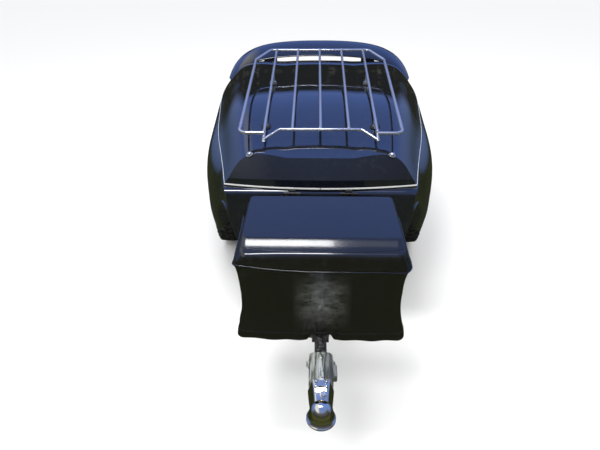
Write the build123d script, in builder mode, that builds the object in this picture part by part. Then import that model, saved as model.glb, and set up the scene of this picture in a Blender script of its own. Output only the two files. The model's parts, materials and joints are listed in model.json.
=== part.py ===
"""A small pull-behind cargo trailer for a motorcycle: a moulded tub on two wheels with a hinged
lid, a luggage rack, a rear spoiler, and a covered cooler on the tongue.

Millimetres. +Z is up and +Y points to the rear. The origin is on the floor, midway along the
trailer, so the tip of the coupler is at Y = -LENGTH / 2. Distances along the trailer are given
behind that tip and turned into Y by y_at().
"""
from build123d import *
import math
import os

# ---- driving dimensions -------------------------------------------------------------------
LENGTH = 2200.0
TUBE = 50.8                 # square tongue tube
TUBE_WALL = 3.2
RAIL = 38.0                 # square frame tube
TONGUE_TOP = 445.0
TONGUE_Z = TONGUE_TOP - TUBE / 2

AXLE_AT = 1524.0            # distance of the wheel axis behind the tip
TYRE_RADIUS = 266.5
TYRE_WIDTH = 118.0
RIM_RADIUS = 155.0
FLANGE_RADIUS = 162.0
TRACK_HALF = 442.0          # centre plane of a wheel
ARCH_RADIUS = 300.0
ARCH_INNER_X = 368.0

SKIN = 6.0                  # moulded wall
FLOOR_Z = 445.0
RIM_Z = 648.0               # top edge of the tub
SEAL = 8.0                  # height of the bright seal between the tub and the lid
LID_Z = RIM_Z + SEAL
FRONT_AT = 790.0
REAR_AT = 2174.0
FRONT_RADIUS = 8.0          # upright edges of the tub's front
EDGE_RADIUS = 26.0          # top edge of the tub's front

HINGE_AT = 784.5
HINGE_Z = 641.0
HINGE_X = 100.0
HINGE_PIN = 2.0
KNUCKLE = 4.5
RUNNING = 0.05              # radial clearance of pins and shafts

LEG_PIVOT_AT = 800.0
LEG_PIVOT_Z = 362.0
LEG_FOOT_AT = 758.0

# Stations of the tub: distance, bottom height, half widths at the bottom, bulge and rim, bulge height
TUB_STATIONS = [
    (790, 445, 318, 334, 343, 545),
    (1000, 374, 392, 420, 382, 455),
    (1200, 262, 478, 492, 424, 372),
    (1370, 252, 502, 518, 455, 405),
    (1540, 252, 506, 525, 478, 440),
    (1720, 256, 508, 533, 498, 475),
    (1900, 280, 502, 539, 512, 488),
    (2050, 310, 484, 526, 512, 485),
    (2105, 322, 472, 511, 500, 480),
    (2142, 330, 448, 483, 474, 475),
    (2163, 335, 422, 455, 447, 472),
    (2174, 338, 398, 430, 422, 470),
]
# Stations of the lid: distance, half width at its lower edge, height of its centre line, half width
# at its shoulder, and how far the shoulder lies below the centre line
LID_STATIONS = [
    (790, 338, 750, 256, 8),
    (930, 366, 771, 281, 10),
    (1070, 395, 800, 303, 14),
    (1210, 426, 827, 323, 18),
    (1350, 452, 840, 343, 24),
    (1490, 471, 838, 357, 26),
    (1630, 488, 834, 371, 26),
    (1770, 504, 829, 383, 27),
    (1910, 513, 821, 390, 25),
    (2035, 512, 779, 389, 19),
    (2105, 500, 737, 380, 13),
    (2142, 474, 708, 360, 8),
    (2163, 447, 688, 340, 5),
    (2174, 422, 674, 321, 3),
]
LIP_AT = 797.0              # front of the lid's lip on the centre line
FACET_LOW = (797, 686)      # distance and height on the centre line
FACET_HIGH = (832, 748)
BOW_RADIUS = 1760.0         # bow of the lid's front edge, seen from above
FACET_LEAN = 23.0           # how far the facet's bow leans, so that its ends are lower

# Mid-line of the spoiler's arch, from the middle out: X, distance, Z, chord, thickness
SPOILER_STATIONS = [
    (0, 2018, 859, 142, 27),
    (130, 2015, 857, 142, 27),
    (238, 2009, 849, 140, 28),
    (326, 2000, 832, 134, 29),
    (394, 1990, 802, 126, 30),
    (443, 1980, 757, 118, 32),
    (472, 1970, 704, 110, 32),
]
SPOILER_TILT = 20.0
STRUT_X = 261.0
STRUT_WIDTH = 64.0

RACK_TUBE = 6.5             # radius of the frame tube
RACK_ROD = 5.5              # radius of the bars
RACK_HALF = 296.0
RACK_FRONT_AT = 929.0
RACK_FRONT_Z = 811.0
RACK_SLOPE = 7.7
RACK_LENGTH = 800.0
BAR_X = (103.5, 206.0)
FOOT_AT = (1035.0, 1440.0)

COVER_FRONT_AT = 283.0
COVER_REAR_AT = 593.0
COVER_TOP = 741.0
COVER_BOTTOM = 428.0
COVER_WIDTH = 482.0

LAMP_X = 322.0
LAMP_Z = 520.0
LAMP_WIDTH = 150.0
LAMP_HEIGHT = 62.0
PLATE_Z = 455.0
PLATE_WIDTH = 184.0
PLATE_HEIGHT = 108.0
PLATE_HOLES = (146.0, 76.0)

TONGUE_FROM = 322.0
TONGUE_TO = 1420.0
BOSS_LENGTH = 26.0
SHAFT_RADIUS = 17.5
RAIL_X = 300.0
RAIL_FROM = 930.0
RAIL_TO = 2060.0
CROSS_MEMBERS = ((949.0, "front"), (1439.0, "middle"), (2041.0, "rear"))
BEAM_AT = 1390.0
BEAM_Z = 330.0
ARM_X = 338.0
ARM_WIDTH = 28.0
SPINDLE_RADIUS = 12.5
SPINDLE_LENGTH = 84.0

BEAD = 46.0                 # half the distance between the tyre's beads
HUB_RADIUS = 38.0
SPOKE_WINDOWS = 8

EAR_X = 26.0
LEG_PIN = 6.0
LEG_RADIUS = 17.0
FOOT_HEIGHT = 8.0

HOUSING_LENGTH = 203.0
HOUSING_WIDTH = 66.0
HOUSING_TOP = 455.0
SLEEVE_AT = 110.0           # front of the sleeve behind the neck
LEVER_WIDTH = 14.0
SOCKET_Z = 386.0
BALL_Z = 412.0
DOME_RADIUS = 31.0
DOME_TOP = 444.0
# Sections of the neck: distance, top, half widths at the top and at the bottom
NECK = ((50.0, 437.0, 17.0, 28.5), (80.0, 449.0, 20.0, 32.0), (110.0, 453.0, 25.0, 35.0))
BALL_RADIUS = 24.2          # socket of a 1 7/8 inch ball
BALL_AT = 38.5

os.makedirs("parts", exist_ok=True)


def y_at(distance):
    """Y of a point that lies this far behind the coupler's tip."""
    return distance - LENGTH / 2


def section_plane(distance):
    """Plane across the trailer, with sketch coordinates (X, Z)."""
    return Plane(origin=(0, y_at(distance), 0), x_dir=(1, 0, 0), z_dir=(0, -1, 0))


def side_plane(x):
    """Plane along the trailer, with sketch coordinates (Y, Z)."""
    return Plane(origin=(x, 0, 0), x_dir=(0, 1, 0), z_dir=(1, 0, 0))


def save(piece, label):
    piece.part.label = label
    export_step(piece.part, f"parts/{label}.step")


def tub_section(station, inset, drop, top):
    """Closed outline of the tub at one station, its sides drawn in and its bottom dropped."""
    distance, low, low_half, bulge_half, rim_half, bulge_z = station
    edge = [(low_half - inset, low), (bulge_half - inset, bulge_z), (rim_half - inset, top)]
    slopes = [(bulge_half - low_half, (bulge_z - low) * 0.8), (0, 1), (2 * (rim_half - bulge_half), 90)]
    with BuildSketch(section_plane(distance)) as outline:
        with BuildLine():
            right = Spline(*edge, tangents=slopes, tangent_scalars=(1, 1, 1))
            left = mirror(right, about=Plane.YZ)
            Line(right @ 1, left @ 1)
            if drop:
                Polyline(right @ 0, (edge[0][0], low - drop), (-edge[0][0], low - drop), left @ 0)
            else:
                Line(right @ 0, left @ 0)
        make_face()
    return outline


def tub_shape(inset, drop, top, front, rear):
    """Lofted tub: first and last stations moved to the given distances."""
    stations = [list(s) for s in TUB_STATIONS]
    stations[0][0] = front
    stations[-1][0] = rear
    with BuildPart() as shape:
        for station in stations:
            section = tub_section(station, inset, drop, top)
            add(section.sketch)
        loft()
    return shape


def lid_section(station, inset):
    """Closed outline of the lid at one station, drawn in by the inset."""
    distance, half, top, shoulder, drop = station
    points = [
        (half - inset, LID_Z - inset),
        (shoulder - inset, top - drop - inset),
        (0.5 * shoulder, top - 0.2 * drop - inset),
        (0, top - inset),
    ]
    with BuildSketch(section_plane(distance)) as outline:
        with BuildLine():
            right = Spline(*points, tangents=[(-0.75, 1), (-1, 0)])
            left = mirror(right, about=Plane.YZ)
            Line(right @ 0, left @ 0)
        make_face()
    return outline


def front_ring(inset):
    """Ring of material in front of the facet, which bows forward like the lid's front edge."""
    lean = math.radians(FACET_LEAN)
    run, rise = FACET_HIGH[0] - FACET_LOW[0], FACET_HIGH[1] - FACET_LOW[1]
    back = inset * math.hypot(run, rise) / rise
    low = (y_at(FACET_LOW[0] + back) - run, FACET_LOW[1] - rise)
    high = (y_at(FACET_LOW[0] + back) + 3 * run, FACET_LOW[1] + 3 * rise)
    centre = Vector(0, y_at(FACET_LOW[0]) + BOW_RADIUS * math.cos(lean),
                    FACET_LOW[1] - BOW_RADIUS * math.sin(lean))
    with BuildPart() as ring:
        with BuildSketch(side_plane(0)):
            Polygon(low, high, (low[0] - 100, high[1]), (low[0] - 100, low[1]), align=None)
        revolve(axis=Axis(centre, (0, math.sin(lean), math.cos(lean))))
    return ring


def lid_shape(inset, front, rear):
    """Lofted lid with a bowed lip and a steep facet across its front."""
    stations = [list(s) for s in LID_STATIONS]
    stations[0][0] = front
    stations[-1][0] = rear
    with BuildPart() as shape:
        for station in stations:
            section = lid_section(station, inset)
            add(section.sketch)
        loft()
        with BuildSketch(Plane.XY.offset(LID_Z - 20)):
            with Locations((0, y_at(LIP_AT + inset) + BOW_RADIUS)):
                Circle(BOW_RADIUS)
        extrude(amount=400, mode=Mode.INTERSECT)
        add(front_ring(inset).part, mode=Mode.SUBTRACT)
    return shape


def wheel_arch(radius, inner_x, side):
    """Solid round-topped space over one wheel, from inner_x outwards."""
    with BuildPart() as arch:
        with BuildSketch(side_plane(side * inner_x)):
            with Locations((y_at(AXLE_AT), TYRE_RADIUS)):
                Circle(radius)
            with Locations((y_at(AXLE_AT), TYRE_RADIUS - 150)):
                Rectangle(2 * radius, 300)
        extrude(amount=side * 260)
    return arch


def front_edge(radius):
    """All that lies outside a round top edge across the tub's front."""
    middle = (y_at(FRONT_AT + EDGE_RADIUS), RIM_Z - EDGE_RADIUS)
    low, high = (middle[0] - radius, middle[1]), (middle[0], middle[1] + radius)
    slant = radius * math.sqrt(0.5)
    with BuildPart() as waste:
        with BuildSketch(side_plane(-450)):
            with BuildLine():
                ThreePointArc(low, (middle[0] - slant, middle[1] + slant), high)
                Polyline(high, (high[0], high[1] + 50), (low[0] - 50, high[1] + 50), (low[0] - 50, low[1]), low)
            make_face()
        extrude(amount=900)
    return waste


# ---- tub ----------------------------------------------------------------------------------
with BuildPart() as tub_outside:
    add(tub_shape(0, 0, RIM_Z, FRONT_AT, REAR_AT).part)
    fillet(tub_outside.faces().sort_by(Axis.Y)[0].edges().sort_by(Axis.Z)[1:3], FRONT_RADIUS)
    add(front_edge(EDGE_RADIUS).part, mode=Mode.SUBTRACT)
with BuildPart() as tub_inside:
    add(tub_shape(SKIN, 40, RIM_Z - SKIN, FRONT_AT + SKIN, REAR_AT - SKIN).part)
    add(front_edge(EDGE_RADIUS - SKIN).part, mode=Mode.SUBTRACT)
lid_outside = lid_shape(0, FRONT_AT, REAR_AT)

with BuildPart() as mouth:
    # the mouth of the load space, inside the flange that the lid closes on
    with BuildSketch(Plane.XY.offset(RIM_Z - 20)):
        with BuildLine():
            front = Line((-330, y_at(850)), (330, y_at(850)))
            sides = Spline((330, y_at(850)), (424, y_at(1300)), (478, y_at(1720)), (482, y_at(2010)))
            rear = Spline(sides @ 1, (440, y_at(2105)), (380, y_at(2142)), tangents=[(0, 1), (-1, 0)])
            Line(rear @ 1, (-380, y_at(2142)))
            mirror(rear, about=Plane.YZ)
            mirror(sides, about=Plane.YZ)
        make_face()
    extrude(amount=40)

with BuildPart() as hollow:
    add(tub_inside.part)
    with Locations((0, y_at(1500), FLOOR_Z)):
        Box(1400, 1600, SKIN, align=(Align.CENTER, Align.CENTER, Align.MIN), mode=Mode.SUBTRACT)

wheel_boxes = []
for side in (-1, 1):
    with BuildPart() as wheel_box:
        add(wheel_arch(ARCH_RADIUS + SKIN, ARCH_INNER_X - SKIN, side).part)
        add(tub_outside.part, mode=Mode.INTERSECT)
        with Locations((0, y_at(1500), FLOOR_Z)):
            Box(1400, 1600, 400, align=(Align.CENTER, Align.CENTER, Align.MAX), mode=Mode.SUBTRACT)
    wheel_boxes.append(wheel_box)

with BuildPart() as tub:
    add(tub_outside.part)
    add(hollow.part, mode=Mode.SUBTRACT)
    for wheel_box in wheel_boxes:
        add(wheel_box.part)
    for side in (-1, 1):
        add(wheel_arch(ARCH_RADIUS, ARCH_INNER_X, side).part, mode=Mode.SUBTRACT)
    add(mouth.part, mode=Mode.SUBTRACT)
save(tub, "tub")

# ---- lid and its seal ---------------------------------------------------------------------
with BuildPart() as lid:
    add(lid_outside.part)
    add(lid_shape(5, FRONT_AT + 5, REAR_AT - 5).part, mode=Mode.SUBTRACT)
save(lid, "lid")


def seal_plate(grow, sides):
    """Flat plate that follows the lid's lower edge, grown at its ends and at its sides."""
    with BuildPart() as plate:
        for distance, half, *_ in LID_STATIONS:
            reach = distance + grow if distance == REAR_AT else distance
            with BuildSketch(section_plane(reach)) as strip:
                with Locations((0, RIM_Z)):
                    Rectangle(2 * (half + sides), SEAL, align=(Align.CENTER, Align.MIN))
        loft()
        with BuildSketch(Plane.XY.offset(RIM_Z)):
            with Locations((0, y_at(LIP_AT - grow) + BOW_RADIUS)):
                Circle(BOW_RADIUS)
        extrude(amount=SEAL, mode=Mode.INTERSECT)
    return plate


with BuildPart() as lid_seal:
    add(seal_plate(3, 1.2).part)
    add(seal_plate(-12, -12).part, mode=Mode.SUBTRACT)
save(lid_seal, "lid_seal")

# ---- spoiler ------------------------------------------------------------------------------
arch_points = [(-x, y, z, c, t) for x, y, z, c, t in reversed(SPOILER_STATIONS[1:])] + SPOILER_STATIONS
with BuildPart() as spoiler:
    for index, (x, distance, z, chord, thickness) in enumerate(arch_points):
        before = Vector(*[arch_points[max(index - 1, 0)][k] for k in (0, 1, 2)])
        after = Vector(*[arch_points[min(index + 1, len(arch_points) - 1)][k] for k in (0, 1, 2)])
        tilt = math.radians(SPOILER_TILT)
        tangent = (after - before).normalized()
        across = Vector(0, math.cos(tilt), math.sin(tilt))
        across = (across - tangent * across.dot(tangent)).normalized()
        with BuildSketch(Plane(origin=(x, y_at(distance), z), x_dir=across, z_dir=tangent)):
            Ellipse(chord / 2, thickness / 2)
    loft()
    for side in (-1, 1):
        with BuildSketch(side_plane(side * STRUT_X - STRUT_WIDTH / 2)):
            with BuildLine():
                Polyline(
                    (y_at(1972), 838), (y_at(2050), 862), (y_at(2062), 740), (y_at(1962), 740), close=True
                )
            make_face()
        extrude(amount=STRUT_WIDTH)
    add(lid_outside.part, mode=Mode.SUBTRACT)
save(spoiler, "spoiler")

# ---- luggage rack -------------------------------------------------------------------------
rack_plane = Plane(
    origin=(0, y_at(RACK_FRONT_AT), RACK_FRONT_Z),
    x_dir=(1, 0, 0),
    z_dir=(0, -math.sin(math.radians(RACK_SLOPE)), math.cos(math.radians(RACK_SLOPE))),
)


def tube_between(start, end, radius, mode=Mode.ADD):
    """Round bar between two points."""
    axis = Vector(*end) - Vector(*start)
    with BuildSketch(Plane(origin=start, z_dir=axis)) as end_circle:
        Circle(radius)
    extrude(end_circle.sketch, amount=axis.length, mode=mode)


def rack_point(x, along, lift=0.0):
    """Point on the tilted plane of the rack."""
    return rack_plane.from_local_coords(Vector(x, along, lift))


with BuildPart() as rack_frame:
    with BuildLine(rack_plane) as frame_path:
        FilletPolyline(
            (-BAR_X[1], 0), (-RACK_HALF, 0), (-RACK_HALF, RACK_LENGTH - 120),
            (-235, RACK_LENGTH), (235, RACK_LENGTH),
            (RACK_HALF, RACK_LENGTH - 120), (RACK_HALF, 0), (BAR_X[1], 0), radius=28,
        )
    with BuildSketch(Plane(origin=frame_path.line @ 0, z_dir=frame_path.line % 0)):
        Circle(RACK_TUBE)
    sweep()
save(rack_frame, "rack_frame")

with BuildPart() as rack_bars:
    for x in (0, BAR_X[0], -BAR_X[0]):
        tube_between(rack_point(x, 26), rack_point(x, RACK_LENGTH), RACK_ROD)
    for x in (BAR_X[1], -BAR_X[1]):
        tube_between(rack_point(x, -24, -20), rack_point(x, 14, -1), RACK_ROD)
        tube_between(rack_point(x, 8, -3), rack_point(x, RACK_LENGTH, 0), RACK_ROD)
    with BuildLine() as bar_path:
        FilletPolyline(
            rack_point(-BAR_X[1], -18, -17), rack_point(-150, 26, 0), rack_point(150, 26, 0),
            rack_point(BAR_X[1], -18, -17), radius=20,
        )
    with BuildSketch(Plane(origin=bar_path.line @ 0, z_dir=bar_path.line % 0)):
        Circle(RACK_ROD)
    sweep()
    add(rack_frame.part, mode=Mode.SUBTRACT)
save(rack_bars, "rack_bars")

with BuildPart() as rack_feet:
    for x in (-BAR_X[1], BAR_X[1]):
        for distance in FOOT_AT:
            bar_z = RACK_FRONT_Z + (distance - RACK_FRONT_AT) * math.tan(math.radians(RACK_SLOPE))
            with Locations((x, y_at(distance), bar_z)):
                Cylinder(7, 90, align=(Align.CENTER, Align.CENTER, Align.MAX))
            with Locations((x, y_at(distance), bar_z - 32)):
                Cylinder(15, 60, align=(Align.CENTER, Align.CENTER, Align.MAX))
    add(lid_outside.part, mode=Mode.SUBTRACT)
    add(rack_bars.part, mode=Mode.SUBTRACT)
save(rack_feet, "rack_feet")

# ---- hinges, latch, lamps and plate -------------------------------------------------------
with BuildPart() as hinge_bases:
    for x in (-HINGE_X, HINGE_X):
        with Locations((x, y_at(FRONT_AT) - 1, RIM_Z - EDGE_RADIUS)):
            Box(60, 2, 20, align=(Align.CENTER, Align.CENTER, Align.MAX))
        for end in (-21, 21):
            with Locations((x + end, y_at(HINGE_AT), HINGE_Z)):
                Cylinder(KNUCKLE, 18, rotation=(0, 90, 0))
                Box(18, FRONT_AT - HINGE_AT, 28, align=(Align.CENTER, Align.MIN, Align.MAX))
        with Locations((x, y_at(HINGE_AT), HINGE_Z)):
            Cylinder(HINGE_PIN, 60, rotation=(0, 90, 0))
save(hinge_bases, "hinge_bases")

with BuildPart() as hinge_leaves:
    for x in (-HINGE_X, HINGE_X):
        with BuildSketch(side_plane(x - 11.5)):
            with Locations((y_at(HINGE_AT), HINGE_Z)):
                Circle(KNUCKLE)
            with BuildLine():
                Polyline(
                    (y_at(782.5), HINGE_Z), (y_at(782.5), RIM_Z + 3.5), (y_at(808), RIM_Z + 3.5),
                    (y_at(808), RIM_Z + 1), (y_at(787), RIM_Z + 1), (y_at(787), HINGE_Z), close=True,
                )
            make_face()
        extrude(amount=23)
        with Locations((x, y_at(HINGE_AT), HINGE_Z)):
            Cylinder(HINGE_PIN + RUNNING, 30, rotation=(0, 90, 0), mode=Mode.SUBTRACT)
    add(lid_seal.part, mode=Mode.SUBTRACT)
save(hinge_leaves, "hinge_leaves")

with BuildPart() as lid_latch:
    with BuildSketch(section_plane(REAR_AT)):
        with Locations((0, RIM_Z - 30)):
            RectangleRounded(86, 36, 8)
    extrude(amount=-6)
    with BuildSketch(section_plane(REAR_AT + 6)):
        with Locations((0, RIM_Z - 30)):
            RectangleRounded(62, 16, 7)
    extrude(amount=-12)
save(lid_latch, "lid_latch")

for side, name in ((-1, "left"), (1, "right")):
    with BuildPart() as bezel:
        with BuildSketch(section_plane(REAR_AT)):
            with Locations((side * LAMP_X, LAMP_Z)):
                RectangleRounded(LAMP_WIDTH + 16, LAMP_HEIGHT + 16, 26)
        extrude(amount=-8)
        fillet(bezel.faces().sort_by(Axis.Y)[-1].edges(), 3)
    save(bezel, f"lamp_bezel_{name}")
    with BuildPart() as lens:
        with BuildSketch(section_plane(REAR_AT + 8)):
            with Locations((side * LAMP_X, LAMP_Z)):
                RectangleRounded(LAMP_WIDTH, LAMP_HEIGHT, 20)
        extrude(amount=-(LENGTH - REAR_AT - 8))
        fillet(lens.faces().sort_by(Axis.Y)[-1].edges(), 9)
    save(lens, f"tail_lamp_{name}")

with BuildPart() as plate_bracket:
    with BuildSketch(section_plane(REAR_AT)):
        with Locations((0, PLATE_Z)):
            RectangleRounded(PLATE_WIDTH - 20, PLATE_HEIGHT - 8, 6)
            with GridLocations(PLATE_HOLES[0], PLATE_HOLES[1], 2, 2):
                Circle(3.5, mode=Mode.SUBTRACT)
        with Locations((0, PLATE_Z + PLATE_HEIGHT / 2)):
            Rectangle(60, 30)
    extrude(amount=-8)
    with BuildSketch(section_plane(REAR_AT)):
        with Locations((0, PLATE_Z + PLATE_HEIGHT / 2 + 12)):
            RectangleRounded(60, 20, 6)
    extrude(amount=-20)
save(plate_bracket, "plate_bracket")

with BuildPart() as plate:
    with BuildSketch(section_plane(REAR_AT + 8)):
        with Locations((0, PLATE_Z)):
            RectangleRounded(PLATE_WIDTH, PLATE_HEIGHT, 8)
            with GridLocations(PLATE_HOLES[0], PLATE_HOLES[1], 2, 2):
                Circle(3.5, mode=Mode.SUBTRACT)
    extrude(amount=-1.5)
save(plate, "plate")

# ---- frame --------------------------------------------------------------------------------
with BuildPart() as tongue:
    with BuildSketch(section_plane(TONGUE_FROM)):
        with Locations((0, TONGUE_Z)):
            RectangleRounded(TUBE, TUBE, 5)
            RectangleRounded(TUBE - 2 * TUBE_WALL, TUBE - 2 * TUBE_WALL, 2, mode=Mode.SUBTRACT)
    extrude(amount=-(TONGUE_TO - TONGUE_FROM))
save(tongue, "tongue")

with BuildPart() as tongue_boss:
    with BuildSketch(section_plane(TONGUE_FROM)):
        with Locations((0, TONGUE_Z)):
            Rectangle(TUBE, TUBE)
    extrude(amount=BOSS_LENGTH)
    chamfer(tongue_boss.faces().sort_by(Axis.Y)[0].edges(), 7)
    with BuildSketch(section_plane(TONGUE_FROM)):
        with Locations((0, TONGUE_Z)):
            Circle(SHAFT_RADIUS + RUNNING)
    extrude(amount=BOSS_LENGTH, mode=Mode.SUBTRACT)
save(tongue_boss, "tongue_boss")

for side, name in ((-1, "left"), (1, "right")):
    with BuildPart() as frame_rail:
        with Locations((side * RAIL_X, y_at((RAIL_FROM + RAIL_TO) / 2), TONGUE_TOP - RAIL / 2)):
            Box(RAIL, RAIL_TO - RAIL_FROM, RAIL)
            Box(RAIL - 6, RAIL_TO - RAIL_FROM, RAIL - 6, mode=Mode.SUBTRACT)
    save(frame_rail, f"frame_rail_{name}")

for distance, name in CROSS_MEMBERS:
    with BuildPart() as cross_member:
        with Locations((0, y_at(distance), TONGUE_TOP - RAIL / 2)):
            Box(2 * RAIL_X - RAIL, RAIL, RAIL)
            Box(2 * RAIL_X, RAIL - 6, RAIL - 6, mode=Mode.SUBTRACT)
        if distance < TONGUE_TO:
            with Locations((0, y_at(distance), TONGUE_Z)):
                Box(TUBE, 2 * RAIL, TUBE, mode=Mode.SUBTRACT)
    save(cross_member, f"cross_member_{name}")

with BuildPart() as axle_beam:
    with Locations((0, y_at(BEAM_AT), BEAM_Z)):
        Box(2 * ARM_X, 50, 50)
        Box(2 * ARM_X, 42, 42, mode=Mode.SUBTRACT)
    fillet(axle_beam.edges().filter_by(Axis.X), 3)
save(axle_beam, "axle_beam")

with BuildPart() as axle_brackets:
    for side in (-1, 1):
        with Locations((side * RAIL_X, y_at(BEAM_AT), BEAM_Z + 25)):
            Box(RAIL, 110, TONGUE_TOP - RAIL - BEAM_Z - 25, align=(Align.CENTER, Align.CENTER, Align.MIN))
save(axle_brackets, "axle_brackets")

for side, name in ((-1, "left"), (1, "right")):
    with BuildPart() as torsion_arm:
        with BuildSketch(side_plane(side * ARM_X)) as arm_outline:
            with Locations((y_at(BEAM_AT), BEAM_Z)):
                Circle(34)
            with Locations((y_at(AXLE_AT), TYRE_RADIUS)):
                Circle(26)
            make_hull()
        extrude(amount=side * ARM_WIDTH)
        with BuildSketch(side_plane(side * (ARM_X + ARM_WIDTH))):
            with Locations((y_at(AXLE_AT), TYRE_RADIUS)):
                Circle(SPINDLE_RADIUS)
        extrude(amount=side * SPINDLE_LENGTH)
    save(torsion_arm, f"torsion_arm_{name}")

# ---- wheels -------------------------------------------------------------------------------
for side, name in ((-1, "left"), (1, "right")):
    # sketch coordinates: outward along the axle, up from its axis
    wheel_plane = Plane(
        origin=(side * TRACK_HALF, y_at(AXLE_AT), TYRE_RADIUS), x_dir=(side, 0, 0), z_dir=(0, -side, 0)
    )
    axle_line = Axis(wheel_plane.origin, (1, 0, 0))
    half = TYRE_WIDTH / 2
    with BuildPart() as tyre:
        with BuildSketch(wheel_plane):
            with BuildLine():
                flank = Spline((-BEAD, FLANGE_RADIUS + 1), (-half, 208), (-half + 11, TYRE_RADIUS - 9))
                crown = ThreePointArc(flank @ 1, (0, TYRE_RADIUS), (half - 11, TYRE_RADIUS - 9))
                Spline(crown @ 1, (half, 208), (BEAD, FLANGE_RADIUS + 1))
                Polyline(
                    (BEAD, FLANGE_RADIUS + 1), (BEAD, RIM_RADIUS), (-BEAD, RIM_RADIUS), flank @ 0
                )
            make_face()
        revolve(axis=axle_line)
    save(tyre, f"tyre_{name}")

    with BuildPart() as rim:
        with BuildSketch(wheel_plane):
            with BuildLine():
                Polyline(
                    (-BEAD - 7, FLANGE_RADIUS), (-BEAD, FLANGE_RADIUS), (-BEAD, RIM_RADIUS), (BEAD, RIM_RADIUS),
                    (BEAD, FLANGE_RADIUS), (BEAD + 7, FLANGE_RADIUS), (BEAD + 7, 156), (BEAD + 2, 150), (30, 144),
                    (18, 136), (10, 60), (14, HUB_RADIUS), (4, HUB_RADIUS), (0, 60), (8, 138),
                    (0, 146), (-BEAD - 2, 150), (-BEAD - 7, 156), close=True,
                )
            make_face()
        revolve(axis=axle_line)
        with BuildSketch(Plane(wheel_plane.origin, x_dir=(0, 1, 0), z_dir=(side, 0, 0)).offset(-20)):
            with PolarLocations(98, SPOKE_WINDOWS):
                SlotOverall(56, 34, rotation=0)
        extrude(amount=60, mode=Mode.SUBTRACT)
    save(rim, f"rim_{name}")

    with BuildPart() as hub:
        with BuildSketch(wheel_plane):
            with BuildLine():
                Polyline(
                    (-60, SPINDLE_RADIUS + RUNNING), (-60, HUB_RADIUS), (22, HUB_RADIUS), (24, 24),
                    (40, 22), (42, 18), (42, 0), (12, 0), (12, SPINDLE_RADIUS + RUNNING), close=True,
                )
            make_face()
        revolve(axis=axle_line)
    save(hub, f"hub_{name}")

# ---- parking leg --------------------------------------------------------------------------
with BuildPart() as leg_bracket:
    for side in (-1, 1):
        with Locations((side * EAR_X, y_at(LEG_PIVOT_AT), LEG_PIVOT_Z - 16)):
            Box(5, 60, TONGUE_Z - TUBE / 2 - LEG_PIVOT_Z + 16, align=(Align.CENTER, Align.CENTER, Align.MIN))
    with Locations((0, y_at(LEG_PIVOT_AT) - 27, LEG_PIVOT_Z - 16)):
        Box(2 * EAR_X, 6, TONGUE_Z - TUBE / 2 - LEG_PIVOT_Z + 16, align=(Align.CENTER, Align.CENTER, Align.MIN))
    with Locations((0, y_at(LEG_PIVOT_AT), LEG_PIVOT_Z)):
        Cylinder(LEG_PIN, 2 * EAR_X + 12, rotation=(0, 90, 0))
save(leg_bracket, "leg_bracket")

leg_top = (0, y_at(LEG_PIVOT_AT), LEG_PIVOT_Z)
leg_foot = (0, y_at(LEG_FOOT_AT), FOOT_HEIGHT)
with BuildPart() as parking_leg:
    tube_between(leg_top, leg_foot, LEG_RADIUS)
    with Locations(leg_top):
        Cylinder(LEG_RADIUS, 2 * EAR_X - 9, rotation=(0, 90, 0))
    with BuildSketch(Plane.XY):
        with Locations(leg_foot[:2]):
            RectangleRounded(90, 60, 12)
    extrude(amount=FOOT_HEIGHT)
    with Locations(leg_top):
        Cylinder(LEG_PIN + RUNNING, 80, rotation=(0, 90, 0), mode=Mode.SUBTRACT)
save(parking_leg, "parking_leg")

# ---- coupler ------------------------------------------------------------------------------
with BuildPart() as coupler_shaft:
    tube_between((0, y_at(HOUSING_LENGTH), TONGUE_Z), (0, y_at(340), TONGUE_Z), SHAFT_RADIUS)
save(coupler_shaft, "coupler_shaft")

# sketch coordinates of the ball's plane: outward, up
ball_plane = Plane(origin=(0, y_at(BALL_AT), 0), x_dir=(1, 0, 0), z_dir=(0, -1, 0))
ball_axis = Axis(ball_plane.origin, (0, 0, 1))
with BuildPart() as coupler_housing:
    # dome over the ball, with a flared rim
    with BuildSketch(ball_plane):
        with BuildLine():
            Polyline((0, DOME_TOP), (0, SOCKET_Z), (BALL_AT, SOCKET_Z), (BALL_AT, SOCKET_Z + 4))
            flare = Spline((BALL_AT, SOCKET_Z + 4), (DOME_RADIUS + 1.5, SOCKET_Z + 11), (DOME_RADIUS, BALL_Z))
            ThreePointArc(flare @ 1, (DOME_RADIUS * 0.72, BALL_Z + (DOME_TOP - BALL_Z) * 0.7), (0, DOME_TOP))
        make_face()
    revolve(axis=ball_axis)
    # neck: narrow on top, with skirts that spread at the bottom
    for distance, top, top_half, low_half in NECK:
        with BuildSketch(section_plane(distance)):
            with BuildLine():
                Polyline(
                    (-low_half, SOCKET_Z + 10), (low_half, SOCKET_Z + 10), (low_half, SOCKET_Z + 20),
                    (top_half, top), (-top_half, top), (-low_half, SOCKET_Z + 20), close=True,
                )
            neck = make_face()
            fillet(neck.vertices().sort_by(Axis.Z)[-2:], 9)
    loft()
    # sleeve that clamps the swivel shaft
    with BuildSketch(section_plane(SLEEVE_AT)):
        with Locations((0, HOUSING_TOP - 28)):
            RectangleRounded(HOUSING_WIDTH, 56, 16)
    extrude(amount=-(HOUSING_LENGTH - SLEEVE_AT))
    # room for the ball
    with BuildSketch(ball_plane):
        with BuildLine():
            Polyline((0, BALL_Z + BALL_RADIUS), (0, SOCKET_Z), (BALL_RADIUS, SOCKET_Z), (BALL_RADIUS, BALL_Z))
            slant = BALL_RADIUS * math.sqrt(0.5)
            ThreePointArc((BALL_RADIUS, BALL_Z), (slant, BALL_Z + slant), (0, BALL_Z + BALL_RADIUS))
        make_face()
    revolve(axis=ball_axis, mode=Mode.SUBTRACT)
save(coupler_housing, "coupler_housing")

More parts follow.
